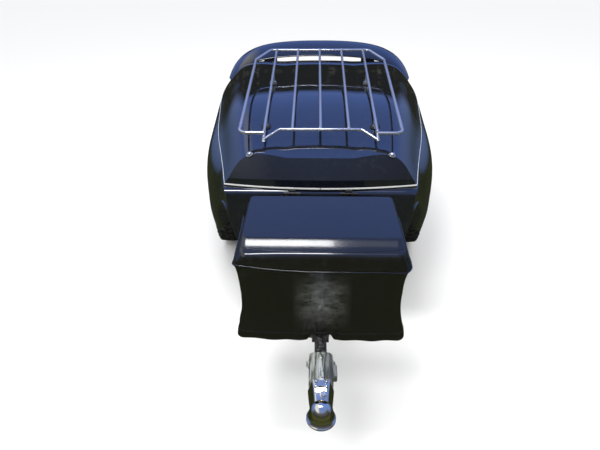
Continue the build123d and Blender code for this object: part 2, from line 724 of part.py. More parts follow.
with BuildPart() as coupler_latch:
    # lever on top of the sleeve, and the head of its cross pin at the side
    with BuildSketch(side_plane(-LEVER_WIDTH / 2)):
        with BuildLine():
            Polyline(
                (y_at(84), HOUSING_TOP - 22), (y_at(84), HOUSING_TOP + 1), (y_at(96), HOUSING_TOP + 9),
                (y_at(180), HOUSING_TOP + 12), (y_at(188), HOUSING_TOP + 7), (y_at(180), HOUSING_TOP + 4),
                (y_at(150), HOUSING_TOP + 2), (y_at(146), HOUSING_TOP), (y_at(112), HOUSING_TOP - 2),
                (y_at(104), HOUSING_TOP - 22), close=True,
            )
        make_face()
    extrude(amount=LEVER_WIDTH)
    with Locations((HOUSING_WIDTH / 2, y_at(150), HOUSING_TOP - 24)):
        Box(11, 40, 22, align=(Align.MIN, Align.CENTER, Align.CENTER))
    fillet(coupler_latch.faces().sort_by(Axis.X)[-1].edges(), 4)
    add(coupler_housing.part, mode=Mode.SUBTRACT)
save(coupler_latch, "coupler_latch")

# ---- cooler on the tongue -----------------------------------------------------------------
cover_at = (COVER_FRONT_AT + COVER_REAR_AT) / 2
cover_depth = COVER_REAR_AT - COVER_FRONT_AT

with BuildPart() as cooler_platform:
    with Locations((0, y_at(cover_at), TONGUE_TOP)):
        Box(COVER_WIDTH - 50, cover_depth - 42, 6, align=(Align.CENTER, Align.CENTER, Align.MIN))
save(cooler_platform, "cooler_platform")

with BuildPart() as cooler_box:
    with BuildSketch(Plane.XY.offset(TONGUE_TOP + 6)):
        with Locations((0, y_at(cover_at))):
            RectangleRounded(COVER_WIDTH - 70, cover_depth - 56, 30)
    with BuildSketch(Plane.XY.offset(COVER_TOP - 50)):
        with Locations((0, y_at(cover_at))):
            RectangleRounded(COVER_WIDTH - 54, cover_depth - 44, 30)
    loft()
    with BuildSketch(Plane.XY.offset(COVER_TOP - 50)):
        with Locations((0, y_at(cover_at))):
            RectangleRounded(COVER_WIDTH - 46, cover_depth - 36, 32)
    extrude(amount=28)
save(cooler_box, "cooler_box")

with BuildPart() as cooler_cover:
    with BuildSketch(Plane.XY.offset(COVER_BOTTOM)):
        with Locations((0, y_at(cover_at))):
            RectangleRounded(COVER_WIDTH + 4, cover_depth, 22)
    with BuildSketch(Plane.XY.offset(COVER_TOP)):
        with Locations((0, y_at(cover_at))):
            RectangleRounded(COVER_WIDTH - 4, cover_depth - 8, 22)
    loft()
    fillet(cooler_cover.faces().sort_by(Axis.Z)[-1].edges(), 20)
    with BuildSketch(Plane.XY.offset(COVER_BOTTOM)):
        with Locations((0, y_at(cover_at))):
            RectangleRounded(COVER_WIDTH - 42, cover_depth - 32, 14)
    extrude(amount=COVER_TOP - COVER_BOTTOM - 12, mode=Mode.SUBTRACT)
    with Locations((0, y_at(cover_at), TONGUE_Z)):
        Box(TUBE + 4, 2 * cover_depth, TUBE + 4, mode=Mode.SUBTRACT)
save(cooler_cover, "cooler_cover")
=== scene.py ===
"""Dresses a small pull-behind cargo trailer: finishes for its solids, and the cover, tread,
fasteners, trim and lamp details that go round them. Metres, +Z up, +Y to the rear.
"""
import json
import math

import bpy
from mathutils import Matrix, Vector, noise


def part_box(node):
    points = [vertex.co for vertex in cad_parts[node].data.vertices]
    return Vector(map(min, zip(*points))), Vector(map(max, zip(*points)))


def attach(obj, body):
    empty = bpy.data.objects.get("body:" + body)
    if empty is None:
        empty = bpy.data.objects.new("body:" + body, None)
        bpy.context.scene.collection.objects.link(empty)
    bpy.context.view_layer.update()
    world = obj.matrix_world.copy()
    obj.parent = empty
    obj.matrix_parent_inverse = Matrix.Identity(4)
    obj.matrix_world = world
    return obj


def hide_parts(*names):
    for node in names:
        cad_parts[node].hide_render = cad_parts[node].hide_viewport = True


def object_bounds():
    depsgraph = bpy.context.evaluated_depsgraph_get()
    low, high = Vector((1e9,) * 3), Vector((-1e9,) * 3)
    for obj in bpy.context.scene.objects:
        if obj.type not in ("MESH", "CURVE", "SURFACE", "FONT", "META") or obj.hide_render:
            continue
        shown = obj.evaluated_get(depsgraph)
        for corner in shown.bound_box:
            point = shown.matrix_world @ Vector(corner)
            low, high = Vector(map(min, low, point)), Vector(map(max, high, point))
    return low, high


bl_info = {
    "name": "Cargo trailer dressing",
    "version": (1, 0, 0),
    "blender": (4, 5, 0),
    "location": "View3D > Sidebar > Trailer",
    "description": "Finishes and small parts of a pull-behind cargo trailer",
    "category": "Object",
}

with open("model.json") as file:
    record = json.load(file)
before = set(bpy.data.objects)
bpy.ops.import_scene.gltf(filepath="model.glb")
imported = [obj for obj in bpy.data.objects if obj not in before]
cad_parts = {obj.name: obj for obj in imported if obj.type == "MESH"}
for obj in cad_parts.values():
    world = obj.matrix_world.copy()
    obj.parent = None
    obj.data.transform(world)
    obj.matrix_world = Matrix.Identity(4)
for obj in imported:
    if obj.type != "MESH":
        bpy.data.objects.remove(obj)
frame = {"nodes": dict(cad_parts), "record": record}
NODES = frame["nodes"]
CAD_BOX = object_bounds()
TIP_Y = CAD_BOX[0][1]
ABOVE_ALL = 1.2                     # higher than anything on the trailer
TYRE_RADIUS = 0.2665
WHEEL_X = 0.442
AXLE_AT = 1.524                     # behind the coupler's tip
SIDES = (("left", -1), ("right", 1))


def at(distance):
    """Y of a point this far behind the coupler's tip."""
    return TIP_Y + distance


def clamp(value):
    return max(0.0, min(1.0, value))


# ---- settings -----------------------------------------------------------------------------
def length(name, description, default):
    return bpy.props.FloatProperty(name=name, description=description, default=default, unit="LENGTH")


def angle(name, description, degrees):
    return bpy.props.FloatProperty(
        name=name, description=description, default=math.radians(degrees), subtype="ANGLE")


def colour_of(name, description, default):
    return bpy.props.FloatVectorProperty(
        name=name, description=description, default=default, subtype="COLOR", min=0, max=1)


class CoverSettings(bpy.types.PropertyGroup):
    """Vinyl cover over the cooler on the tongue."""
    top: length("Top", "Height of the top panel", 0.741)
    seam: length("Seam", "Height of the piped seam", 0.672)
    colour: colour_of("Vinyl", "Colour of the vinyl", (0.0050, 0.0052, 0.0042))


class TyreSettings(bpy.types.PropertyGroup):
    """Tyres and their tread."""
    blocks: bpy.props.IntProperty(
        name="Blocks", description="Tread blocks in one row round the tyre", default=44, min=12)
    groove: length("Groove", "Depth of the tread", 0.0065)


class FinishSettings(bpy.types.PropertyGroup):
    """Colours of the body and the metal."""
    body: colour_of("Body", "Colour of the moulded body", (0.0045, 0.0058, 0.0095))
    rack: colour_of("Rack", "Colour of the plated rack", (0.496, 0.5084, 0.5332))
    coupler: colour_of("Coupler", "Colour of the chrome over the ball", (0.74, 0.70, 0.58))
    lens: colour_of("Lens", "Colour of the tail lamps", (0.42, 0.008, 0.010))


class StageSettings(bpy.types.PropertyGroup):
    """Floor, lights and camera."""
    floor: colour_of("Floor", "Colour of the floor", (0.90, 0.90, 0.90))
    camera_height: length("Camera height", "Height of the camera", 1.510)
    camera_ahead: length("Camera ahead", "How far ahead of the coupler's tip the camera stands", 0.830)
    camera_aside: length("Camera aside", "How far to the right of the middle the camera stands", -0.025)
    pitch: angle("Pitch", "How far the camera looks down", 31.78)
    yaw: angle("Yaw", "How far the camera turns to its left", 1.695)
    roll: angle("Roll", "How far the camera leans", -0.4)
    lens: bpy.props.FloatProperty(
        name="Lens", description="Focal length of the camera in millimetres", default=30.975)


# ---- modelling helpers --------------------------------------------------------------------
def deselect():
    if bpy.context.mode != "OBJECT":
        bpy.ops.object.mode_set(mode="OBJECT")
    bpy.ops.object.select_all(action="DESELECT")


def activate(piece):
    deselect()
    piece.select_set(True)
    bpy.context.view_layer.objects.active = piece


def enter_edit(piece, pick="VERT"):
    """Edit mode on one piece with nothing selected."""
    activate(piece)
    bpy.ops.object.mode_set(mode="EDIT")
    bpy.ops.mesh.select_mode(type=pick)
    bpy.ops.mesh.select_all(action="DESELECT")


def leave_edit():
    bpy.ops.object.mode_set(mode="OBJECT")


def pick_faces(piece, test):
    """Selects the faces whose centre and normal pass the test. Starts and ends in edit mode."""
    bpy.ops.mesh.select_mode(type="FACE")
    bpy.ops.mesh.select_all(action="DESELECT")
    bpy.ops.object.mode_set(mode="OBJECT")
    for face in piece.data.polygons:
        face.select = bool(test(face.center, face.normal))
    bpy.ops.object.mode_set(mode="EDIT")


def apply_modifiers(piece):
    activate(piece)
    for modifier in list(piece.modifiers):
        bpy.ops.object.modifier_apply(modifier=modifier.name)


def settle(piece):
    """Puts the piece's place into its mesh."""
    activate(piece)
    bpy.ops.object.transform_apply(location=True, rotation=True, scale=True)


def smooth(piece, angle=35):
    activate(piece)
    bpy.ops.object.shade_smooth_by_angle(angle=math.radians(angle))


def join(pieces, name):
    deselect()
    for piece in pieces:
        piece.select_set(True)
    bpy.context.view_layer.objects.active = pieces[0]
    if len(pieces) > 1:
        bpy.ops.object.join()
    whole = bpy.context.view_layer.objects.active
    whole.name = name
    whole.data.name = name
    return whole


def close_up(pieces, name, body, slot, finish=None):
    """Last steps of every new piece: one mesh, its place, its finish (the slot's own unless another is
    named) and its body.
    """
    piece = join(pieces, name)
    settle(piece)
    piece.data.materials.clear()
    piece.data.materials.append(FINISH[finish or slot])
    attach(piece, body)
    return piece


def linked(name, data):
    """New object in the scene."""
    piece = bpy.data.objects.new(name, data)
    bpy.context.scene.collection.objects.link(piece)
    return piece


def mesh_piece(name, points, faces):
    mesh = bpy.data.meshes.new(name)
    mesh.from_pydata([tuple(p) for p in points], [], faces)
    mesh.update()
    return linked(name, mesh)


def outward(piece):
    """Merges doubles and points every face outwards."""
    enter_edit(piece)
    bpy.ops.mesh.select_all(action="SELECT")
    bpy.ops.mesh.remove_doubles(threshold=0.00002)
    bpy.ops.mesh.normals_make_consistent(inside=False)
    leave_edit()


def new_box(size, place):
    bpy.ops.mesh.primitive_cube_add(size=1, location=place)
    piece = bpy.context.view_layer.objects.active
    piece.scale = size
    settle(piece)
    return piece


def stand(piece, place, direction):
    """Turns a piece's +Z to a direction, puts it at a place, and keeps both in its mesh."""
    turn = Vector((0, 0, 1)).rotation_difference(Vector(direction))
    piece.matrix_world = Matrix.Translation(Vector(place)) @ turn.to_matrix().to_4x4()
    settle(piece)


def raise_top(piece, steps):
    """Insets the top face and lifts it, once for each (inset, lift)."""
    enter_edit(piece, "FACE")
    pick_faces(piece, lambda c, n: n.z > 0.9)
    for inset, lift in steps:
        bpy.ops.mesh.inset(thickness=inset)
        bpy.ops.transform.translate(value=(0, 0, lift))
    leave_edit()


def pin(radius, height, place, direction=(0, 0, 1), sides=24, crown=0.0, rim=0.0):
    """Round head or stud: a cylinder, with a bevelled rim or a crowned top if asked."""
    bpy.ops.mesh.primitive_cylinder_add(vertices=sides, radius=radius, depth=height)
    piece = bpy.context.view_layer.objects.active
    if crown:
        shares = ((0.165, 0.42), (0.209, 0.34), (0.275, 0.24))
        raise_top(piece, [(radius * inset, crown * lift) for inset, lift in shares])
    elif rim:
        raise_top(piece, [(rim, rim * 0.7)])
    stand(piece, place, direction)
    smooth(piece, 40)
    return piece


def hexagon(radius, height, place, direction=(0, 0, 1)):
    """Hexagonal head with a chamfered top."""
    bpy.ops.mesh.primitive_cylinder_add(vertices=6, radius=radius, depth=height)
    piece = bpy.context.view_layer.objects.active
    raise_top(piece, [(radius * 0.12, radius * 0.07)])
    stand(piece, place, direction)
    return piece


def rounded_block(size, place, edge):
    """Block with rounded edges."""
    piece = new_box(size, place)
    enter_edit(piece, "EDGE")
    bpy.ops.mesh.select_all(action="SELECT")
    bpy.ops.mesh.bevel(offset=edge, segments=3, profile=0.5)
    leave_edit()
    smooth(piece, 40)
    return piece


def across_path(start, end):
    """Unit vectors along a step, to its side and above it."""
    along = (end - start).normalized()
    side = along.cross(Vector((0, 0, 1))).normalized()
    return along, side, side.cross(along)


def tube_round(path, radius, sides=8):
    """Closed tube along a closed run of points."""
    points, faces = [], []
    count = len(path)
    for k in range(count):
        _, side, rise = across_path(Vector(path[k - 1]), Vector(path[(k + 1) % count]))
        for j in range(sides):
            turn = 2 * math.pi * j / sides
            points.append(Vector(path[k]) + radius * (math.cos(turn) * side + math.sin(turn) * rise))
    for k in range(count):
        for j in range(sides):
            a, b = k * sides + j, k * sides + (j + 1) % sides
            c = (k + 1) % count * sides
            faces.append((a, b, c + (j + 1) % sides, c + j))
    tube = mesh_piece("tube", points, faces)
    outward(tube)
    smooth(tube, 60)
    return tube


def stitches(path, length, pitch, radius):
    """Short plump stitches, evenly spaced along a closed run of points."""
    spots = [Vector(p) for p in path] + [Vector(path[0])]
    points, faces = [], []
    left = 0.0
    for start, end in zip(spots, spots[1:]):
        run = (end - start).length
        along, side, rise = across_path(start, end)
        while left < run:
            base = len(points)
            for shift, plump in ((-0.5, 0.35), (-0.3, 1.0), (0.3, 1.0), (0.5, 0.35)):
                centre = start + along * (left + shift * length)
                points += [centre + radius * plump * way for way in (side, rise, -side, -rise)]
            for row in range(3):
                for j in range(4):
                    a, b = base + row * 4 + j, base + row * 4 + (j + 1) % 4
                    faces.append((a, b, b + 4, a + 4))
            faces.append(tuple(base + j for j in range(4)))
            faces.append(tuple(base + 12 + j for j in range(4)))
            left += pitch
        left -= run
    thread = mesh_piece("thread", points, faces)
    outward(thread)
    return thread


def bead(radius, thickness, place, direction, seed):
    """Weld bead round a bar: an uneven ring."""
    bpy.ops.mesh.primitive_torus_add(
        major_radius=radius, minor_radius=thickness, major_segments=28, minor_segments=8)
    piece = bpy.context.view_layer.objects.active
    for vertex in piece.data.vertices:
        turn = math.atan2(vertex.co.y, vertex.co.x)
        ripple = 0.18 * math.sin(turn * 9 + seed) + 0.12 * math.sin(turn * 4 + seed * 2)
        flat = vertex.co.length or 1.0
        vertex.co *= 1 + ripple * thickness / flat
    stand(piece, place, direction)
    smooth(piece, 60)
    return piece


def surface_point(node, start, direction):
    """Where a ray first meets a solid, and the normal there."""
    hit, place, normal, _ = NODES[node].ray_cast(Vector(start), Vector(direction))
    if not hit:
        raise RuntimeError(f"nothing of {node} lies that way")
    return place, normal


def studs(node, spots, *heads):
    """Round heads on top of a solid, at each (x, distance). A head is (radius, height, lift, shape)."""
    pieces = []
    for x, distance in spots:
        place, normal = surface_point(node, (x, at(distance), ABOVE_ALL), (0, 0, -1))
        for radius, height, lift, shape in heads:
            pieces.append(pin(radius, height, place + normal * lift, normal, **shape))
    return pieces


# ---- finishes -----------------------------------------------------------------------------
def group(name, outputs, **floats):
    """Empty node group: a vector input, float inputs with their defaults, and float outputs."""
    tree = bpy.data.node_groups.new(name, "ShaderNodeTree")
    tree.interface.new_socket(name="Vector", in_out="INPUT", socket_type="NodeSocketVector")
    for label, value in floats.items():
        socket = tree.interface.new_socket(name=label, in_out="INPUT", socket_type="NodeSocketFloat")
        socket.default_value = value
    for label in outputs:
        tree.interface.new_socket(name=label, in_out="OUTPUT", socket_type="NodeSocketFloat")
    given = tree.nodes.new("NodeGroupInput").outputs
    return tree, given, tree.nodes.new("NodeGroupOutput").inputs


def put(tree, kind, values=None, **settings):
    """Adds a node, sets its attributes, and sets or links its inputs."""
    node = tree.nodes.new(kind)
    for key, value in settings.items():
        setattr(node, key, value)
    for key, value in (values or {}).items():
        if hasattr(value, "is_output"):
            tree.links.new(value, node.inputs[key])
        else:
            node.inputs[key].default_value = value
    return node


def math_node(tree, operation, a, b=0.5, clamp=False):
    return put(tree, "ShaderNodeMath", {0: a, 1: b}, operation=operation, use_clamp=clamp).outputs[0]


def spread(tree, value, low, high, to_low=0.0, to_high=1.0):
    return put(tree, "ShaderNodeMapRange", {
        "Value": value, "From Min": low, "From Max": high, "To Min": to_low, "To Max": to_high,
    }).outputs[0]


def noise_node(tree, vector, scale, detail, roughness=0.5):
    return put(tree, "ShaderNodeTexNoise", {
        "Vector": vector, "Scale": scale, "Detail": detail, "Roughness": roughness}).outputs[0]


def stretch(tree, vector, scale):
    return put(tree, "ShaderNodeMapping", {"Vector": vector, "Scale": scale}).outputs[0]


def speckle_group():
    """Fine dust and haze: a patchy mask, and a slow variation."""
    tree, given, out = group("speckle", ("Mask", "Drift"), Scale=40.0, Amount=0.5)
    fine = noise_node(tree, given["Vector"], given["Scale"], 6.0, 0.62)
    slow_scale = math_node(tree, "MULTIPLY", given["Scale"], 0.09)
    slow = noise_node(tree, given["Vector"], slow_scale, 3.0)
    mask = math_node(tree, "MULTIPLY", spread(tree, fine, 0.52, 0.78), spread(tree, slow, 0.38, 0.66))
    mask = math_node(tree, "MULTIPLY", mask, given["Amount"], clamp=True)
    tree.links.new(mask, out["Mask"])
    tree.links.new(slow, out["Drift"])


def wear_group():
    """Bright worn edges, broken up by noise."""
    tree, given, out = group("edge_wear", ("Mask",), Amount=0.5)
    point = put(tree, "ShaderNodeNewGeometry").outputs["Pointiness"]
    chips = noise_node(tree, given["Vector"], 130.0, 5.0)
    mask = math_node(tree, "MULTIPLY", spread(tree, point, 0.52, 0.60), spread(tree, chips, 0.48, 0.62))
    mask = math_node(tree, "MULTIPLY", mask, given["Amount"], clamp=True)
    tree.links.new(mask, out["Mask"])


def grain_group():
    """Height of a pebbled or orange-peel surface."""
    tree, given, out = group("grain", ("Height",), Scale=300.0, Pebble=0.5)
    cells = put(tree, "ShaderNodeTexVoronoi", {
        "Vector": given["Vector"], "Scale": given["Scale"]}, feature="SMOOTH_F1")
    ripple = noise_node(tree, given["Vector"], given["Scale"], 4.0)
    pebble = math_node(tree, "MULTIPLY", cells.outputs["Distance"], given["Pebble"])
    tree.links.new(math_node(tree, "ADD", pebble, ripple), out["Height"])


FINISH = {}                         # every material made here, by its own name


def new_finish(name, colour, roughness, metallic=0.0, **values):
    """Material with its principled shader, ready for its detail: (tree, place)."""
    material = bpy.data.materials.new(name)
    material.use_nodes = True
    tree = material.node_tree
    shader = tree.nodes["Principled BSDF"]
    shader.inputs["Base Color"].default_value = (*colour, 1.0)
    shader.inputs["Roughness"].default_value = roughness
    shader.inputs["Metallic"].default_value = metallic
    for key, value in values.items():
        shader.inputs[key.replace("_", " ")].default_value = value
    FINISH[name] = material
    return tree, put(tree, "ShaderNodeTexCoord").outputs["Object"]


def feed(tree, **sources):
    """Links outputs to the principled shader's inputs."""
    for key, source in sources.items():
        tree.links.new(source, tree.nodes["Principled BSDF"].inputs[key.replace("_", " ")])


def use_group(tree, name, place, **values):
    node = put(tree, "ShaderNodeGroup", node_tree=bpy.data.node_groups[name])
    tree.links.new(place, node.inputs["Vector"])
    for key, value in values.items():
        node.inputs[key].default_value = value
    return node.outputs


def mix_colour(tree, mask, clean, other):
    mix = put(tree, "ShaderNodeMix", {"Factor": mask}, data_type="RGBA")
    for slot, value in ((6, clean), (7, other)):
        if hasattr(value, "is_output"):
            tree.links.new(value, mix.inputs[slot])
        else:
            mix.inputs[slot].default_value = (*value, 1.0)
    return mix.outputs[2]


def bump(tree, height, strength, distance):
    node = put(tree, "ShaderNodeBump", {"Height": height, "Strength": strength, "Distance": distance})
    feed(tree, Normal=node.outputs[0])


def speckle(tree, place, scale, amount):
    return use_group(tree, "speckle", place, Scale=scale, Amount=amount)


def grain(tree, place, scale, pebble, strength, distance):
    bump(tree, use_group(tree, "grain", place, Scale=scale, Pebble=pebble)["Height"], strength, distance)


def make_gloss_body(colour):
    tree, place = new_finish(
        "gloss_body", colour, 0.06, Coat_Weight=1.0, Coat_Roughness=0.015, IOR=1.5)
    dust = speckle(tree, place, 75.0, 0.16)
    feed(tree, Base_Color=mix_colour(tree, dust["Mask"], colour, (0.10, 0.10, 0.095)),
         Roughness=spread(tree, dust["Mask"], 0.0, 0.2, 0.05, 0.20))
    grain(tree, place, 160.0, 0.0, 0.02, 0.001)


def make_rack_chrome(colour):
    """Chrome with fine grey pits and a slow change of shine."""
    tree, place = new_finish("rack_chrome", colour, 0.16, 0.86)
    haze = speckle(tree, place, 120.0, 0.25)
    feed(tree, Base_Color=mix_colour(tree, haze["Mask"], colour, (0.33, 0.33, 0.33)),
         Roughness=spread(tree, haze["Drift"], 0.3, 0.7, 0.096, 0.256))


def make_coupler_chrome(colour):
    """Bright chrome over the ball, duller plating along the sleeve and lever behind it; the sleeve's
    colour carries painted reflection streaks and painted shade on its right side.
    """
    tree, place = new_finish("coupler_chrome", colour, 0.09, 1.0)
    parts = put(tree, "ShaderNodeSeparateXYZ", {0: place})
    dull = spread(tree, parts.outputs[1], at(0.104), at(0.112))
    haze = speckle(tree, place, 120.0, 0.5)
    bright = mix_colour(tree, haze["Mask"], colour, (0.33, 0.33, 0.33))
    # painted reflections: light and dark streaks along the sleeve
    reflection_streaks = noise_node(tree, stretch(tree, place, (150.0, 14.0, 60.0)), 1.0, 5.0)
    sleeve_tone_and_painted_light = mix_colour(tree, spread(tree, reflection_streaks, 0.44, 0.56), (0.56, 0.58, 0.56), (0.13, 0.15, 0.11))
    # painted shade: the sleeve's colour darkens towards its right side
    right = spread(tree, parts.outputs[0], 0.002, 0.010, 0.0, 0.55)
    sleeve_tone_and_painted_light = mix_colour(tree, right, sleeve_tone_and_painted_light, (0.07, 0.08, 0.10))
    feed(tree, Base_Color=mix_colour(tree, dull, bright, sleeve_tone_and_painted_light),
         Metallic=spread(tree, dull, 0.0, 1.0, 1.0, 0.60),
         Roughness=spread(tree, dull, 0.0, 1.0, 0.09, 0.32))


def make_trim():
    """Bright strip, its lower part painted near black as the shade line under the lid's edge."""
    bright, painted_shade = (0.80, 0.81, 0.79), (0.012, 0.012, 0.012)
    tree, place = new_finish("bright_trim", bright, 0.30, 0.25)
    low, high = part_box("lid_seal")
    parts = put(tree, "ShaderNodeSeparateXYZ", {0: place})
    edge = low.z + 0.52 * (high.z - low.z)
    # painted shade: the lower part of the strip is coloured near black
    lower = spread(tree, parts.outputs[2], edge - 0.0006, edge, 1.0, 0.0)
    dust = speckle(tree, place, 70.0, 0.12)
    upper = mix_colour(tree, dust["Mask"], bright, (0.2, 0.2, 0.2))
    feed(tree, Base_Color=mix_colour(tree, lower, upper, painted_shade),
         Metallic=spread(tree, lower, 0.0, 1.0, 0.25, 0.0),
         Roughness=spread(tree, lower, 0.0, 1.0, 0.28, 0.55))


def make_paint(name, colour, roughness, wear):
    """Black paint on steel, worn on its edges, with road dust."""
    tree, place = new_finish(name, colour, roughness, Coat_Weight=0.3, Coat_Roughness=0.2)
    dust = speckle(tree, place, 60.0, 0.5)
    worn = use_group(tree, "edge_wear", place, Amount=wear)
    dusty = mix_colour(tree, dust["Mask"], colour, (0.09, 0.085, 0.075))
    feed(tree, Base_Color=mix_colour(tree, worn["Mask"], dusty, (0.32, 0.31, 0.30)),
         Metallic=worn["Mask"],
         Roughness=spread(tree, dust["Mask"], 0.0, 0.5, roughness, roughness + 0.3))
    grain(tree, place, 220.0, 0.2, 0.06, 0.001)


def make_rubber():
    tree, place = new_finish(
        "tyre_rubber", (0.013, 0.013, 0.0125), 0.72, Specular_IOR_Level=0.3)
    dust = speckle(tree, place, 38.0, 0.9)
    feed(tree, Base_Color=mix_colour(tree, dust["Mask"], (0.012, 0.012, 0.0115), (0.075, 0.07, 0.06)),
         Roughness=spread(tree, dust["Drift"], 0.3, 0.7, 0.58, 0.86))
    grain(tree, place, 420.0, 0.4, 0.18, 0.001)


def make_vinyl(colour):
    """Glossy vinyl: fine leather grain, a pale hazy patch on the front painted as the reflection of the
    bright ground in the scuffed vinyl, dust in the folds.
    """
    tree, place = new_finish(
        "cover_vinyl", colour, 0.14, Coat_Weight=0.4, Coat_Roughness=0.06)
    dust = speckle(tree, place, 55.0, 0.15)
    parts = put(tree, "ShaderNodeSeparateXYZ", {0: place})
    # painted reflection: a pale patch on the front of the skirt, broken up by streaky noise
    haze_breakup = noise_node(tree, stretch(tree, place, (26.0, 20.0, 60.0)), 1.0, 7.0, 0.68)
    across = math_node(tree, "ABSOLUTE", math_node(tree, "SUBTRACT", parts.outputs[0], 0.002))
    painted_reflection = spread(tree, across, 0.015, 0.085, 1.0, 0.0)
    for limit in (spread(tree, parts.outputs[2], 0.46, 0.53),
                  spread(tree, parts.outputs[2], 0.60, 0.665, 1.0, 0.0),
                  spread(tree, parts.outputs[1], at(0.30), at(0.32), 1.0, 0.0),
                  spread(tree, haze_breakup, 0.36, 0.66, 0.1, 1.0)):
        painted_reflection = math_node(tree, "MULTIPLY", painted_reflection, limit)
    dusty = mix_colour(tree, dust["Mask"], colour, (0.05, 0.05, 0.045))
    feed(tree, Base_Color=mix_colour(tree, painted_reflection, dusty, (0.085, 0.087, 0.08)),
         Roughness=spread(tree, dust["Drift"], 0.3, 0.7, 0.07, 0.16))
    grain(tree, place, 520.0, 0.8, 0.10, 0.0005)


def make_lens(colour):
    """Red lens with fine upright ribs."""
    tree, place = new_finish("red_lens", colour, 0.08, Coat_Weight=0.6)
    ribs = put(tree, "ShaderNodeTexWave", {"Vector": place, "Scale": 60.0}, bands_direction="X")
    dark = tuple(c * 0.45 for c in colour)
    feed(tree, Base_Color=mix_colour(tree, ribs.outputs["Fac"], colour, dark))
    bump(tree, ribs.outputs["Fac"], 0.25, 0.001)


def make_plain(name, colour, roughness, metallic=0.0, speck=(0.2, 0.2, 0.2), amount=0.3, scale=70.0):
    """Simple moulded or plated finish with a little dust and grain."""
    tree, place = new_finish(name, colour, roughness, metallic)
    dust = speckle(tree, place, scale, amount)
    feed(tree, Base_Color=mix_colour(tree, dust["Mask"], colour, speck),
         Roughness=spread(tree, dust["Drift"], 0.3, 0.7, roughness * 0.8, roughness * 1.25))
    grain(tree, place, 260.0, 0.2, 0.05, 0.001)


def make_alloy():
    """Machined alloy: fine turned rings about the axle, a little brake dust."""
    colour = (0.60, 0.61, 0.63)
    tree, place = new_finish("wheel_alloy", colour, 0.28, 1.0)
    centred = put(tree, "ShaderNodeMapping", {
        "Vector": place, "Location": (0, -at(AXLE_AT), -TYRE_RADIUS)})
    rings = put(tree, "ShaderNodeTexWave", {"Vector": centred.outputs[0], "Scale": 160.0},
                wave_type="RINGS", rings_direction="X")
    dust = speckle(tree, place, 45.0, 0.5)
    feed(tree, Base_Color=mix_colour(tree, dust["Mask"], colour, (0.10, 0.09, 0.08)),
         Roughness=spread(tree, rings.outputs["Fac"], 0.0, 1.0, 0.22, 0.34))
    bump(tree, rings.outputs["Fac"], 0.05, 0.0005)


def ramp(tree, value, stops):
    """Colour that a value picks from a row of stops."""
    node = put(tree, "ShaderNodeValToRGB", {0: value})
    elements = node.color_ramp.elements
    while len(elements) < len(stops):
        elements.new(0.5)
    for element, (place, colour) in zip(elements, stops):
        element.position = place
        element.color = (*colour, 1.0)
    return node.outputs[0]


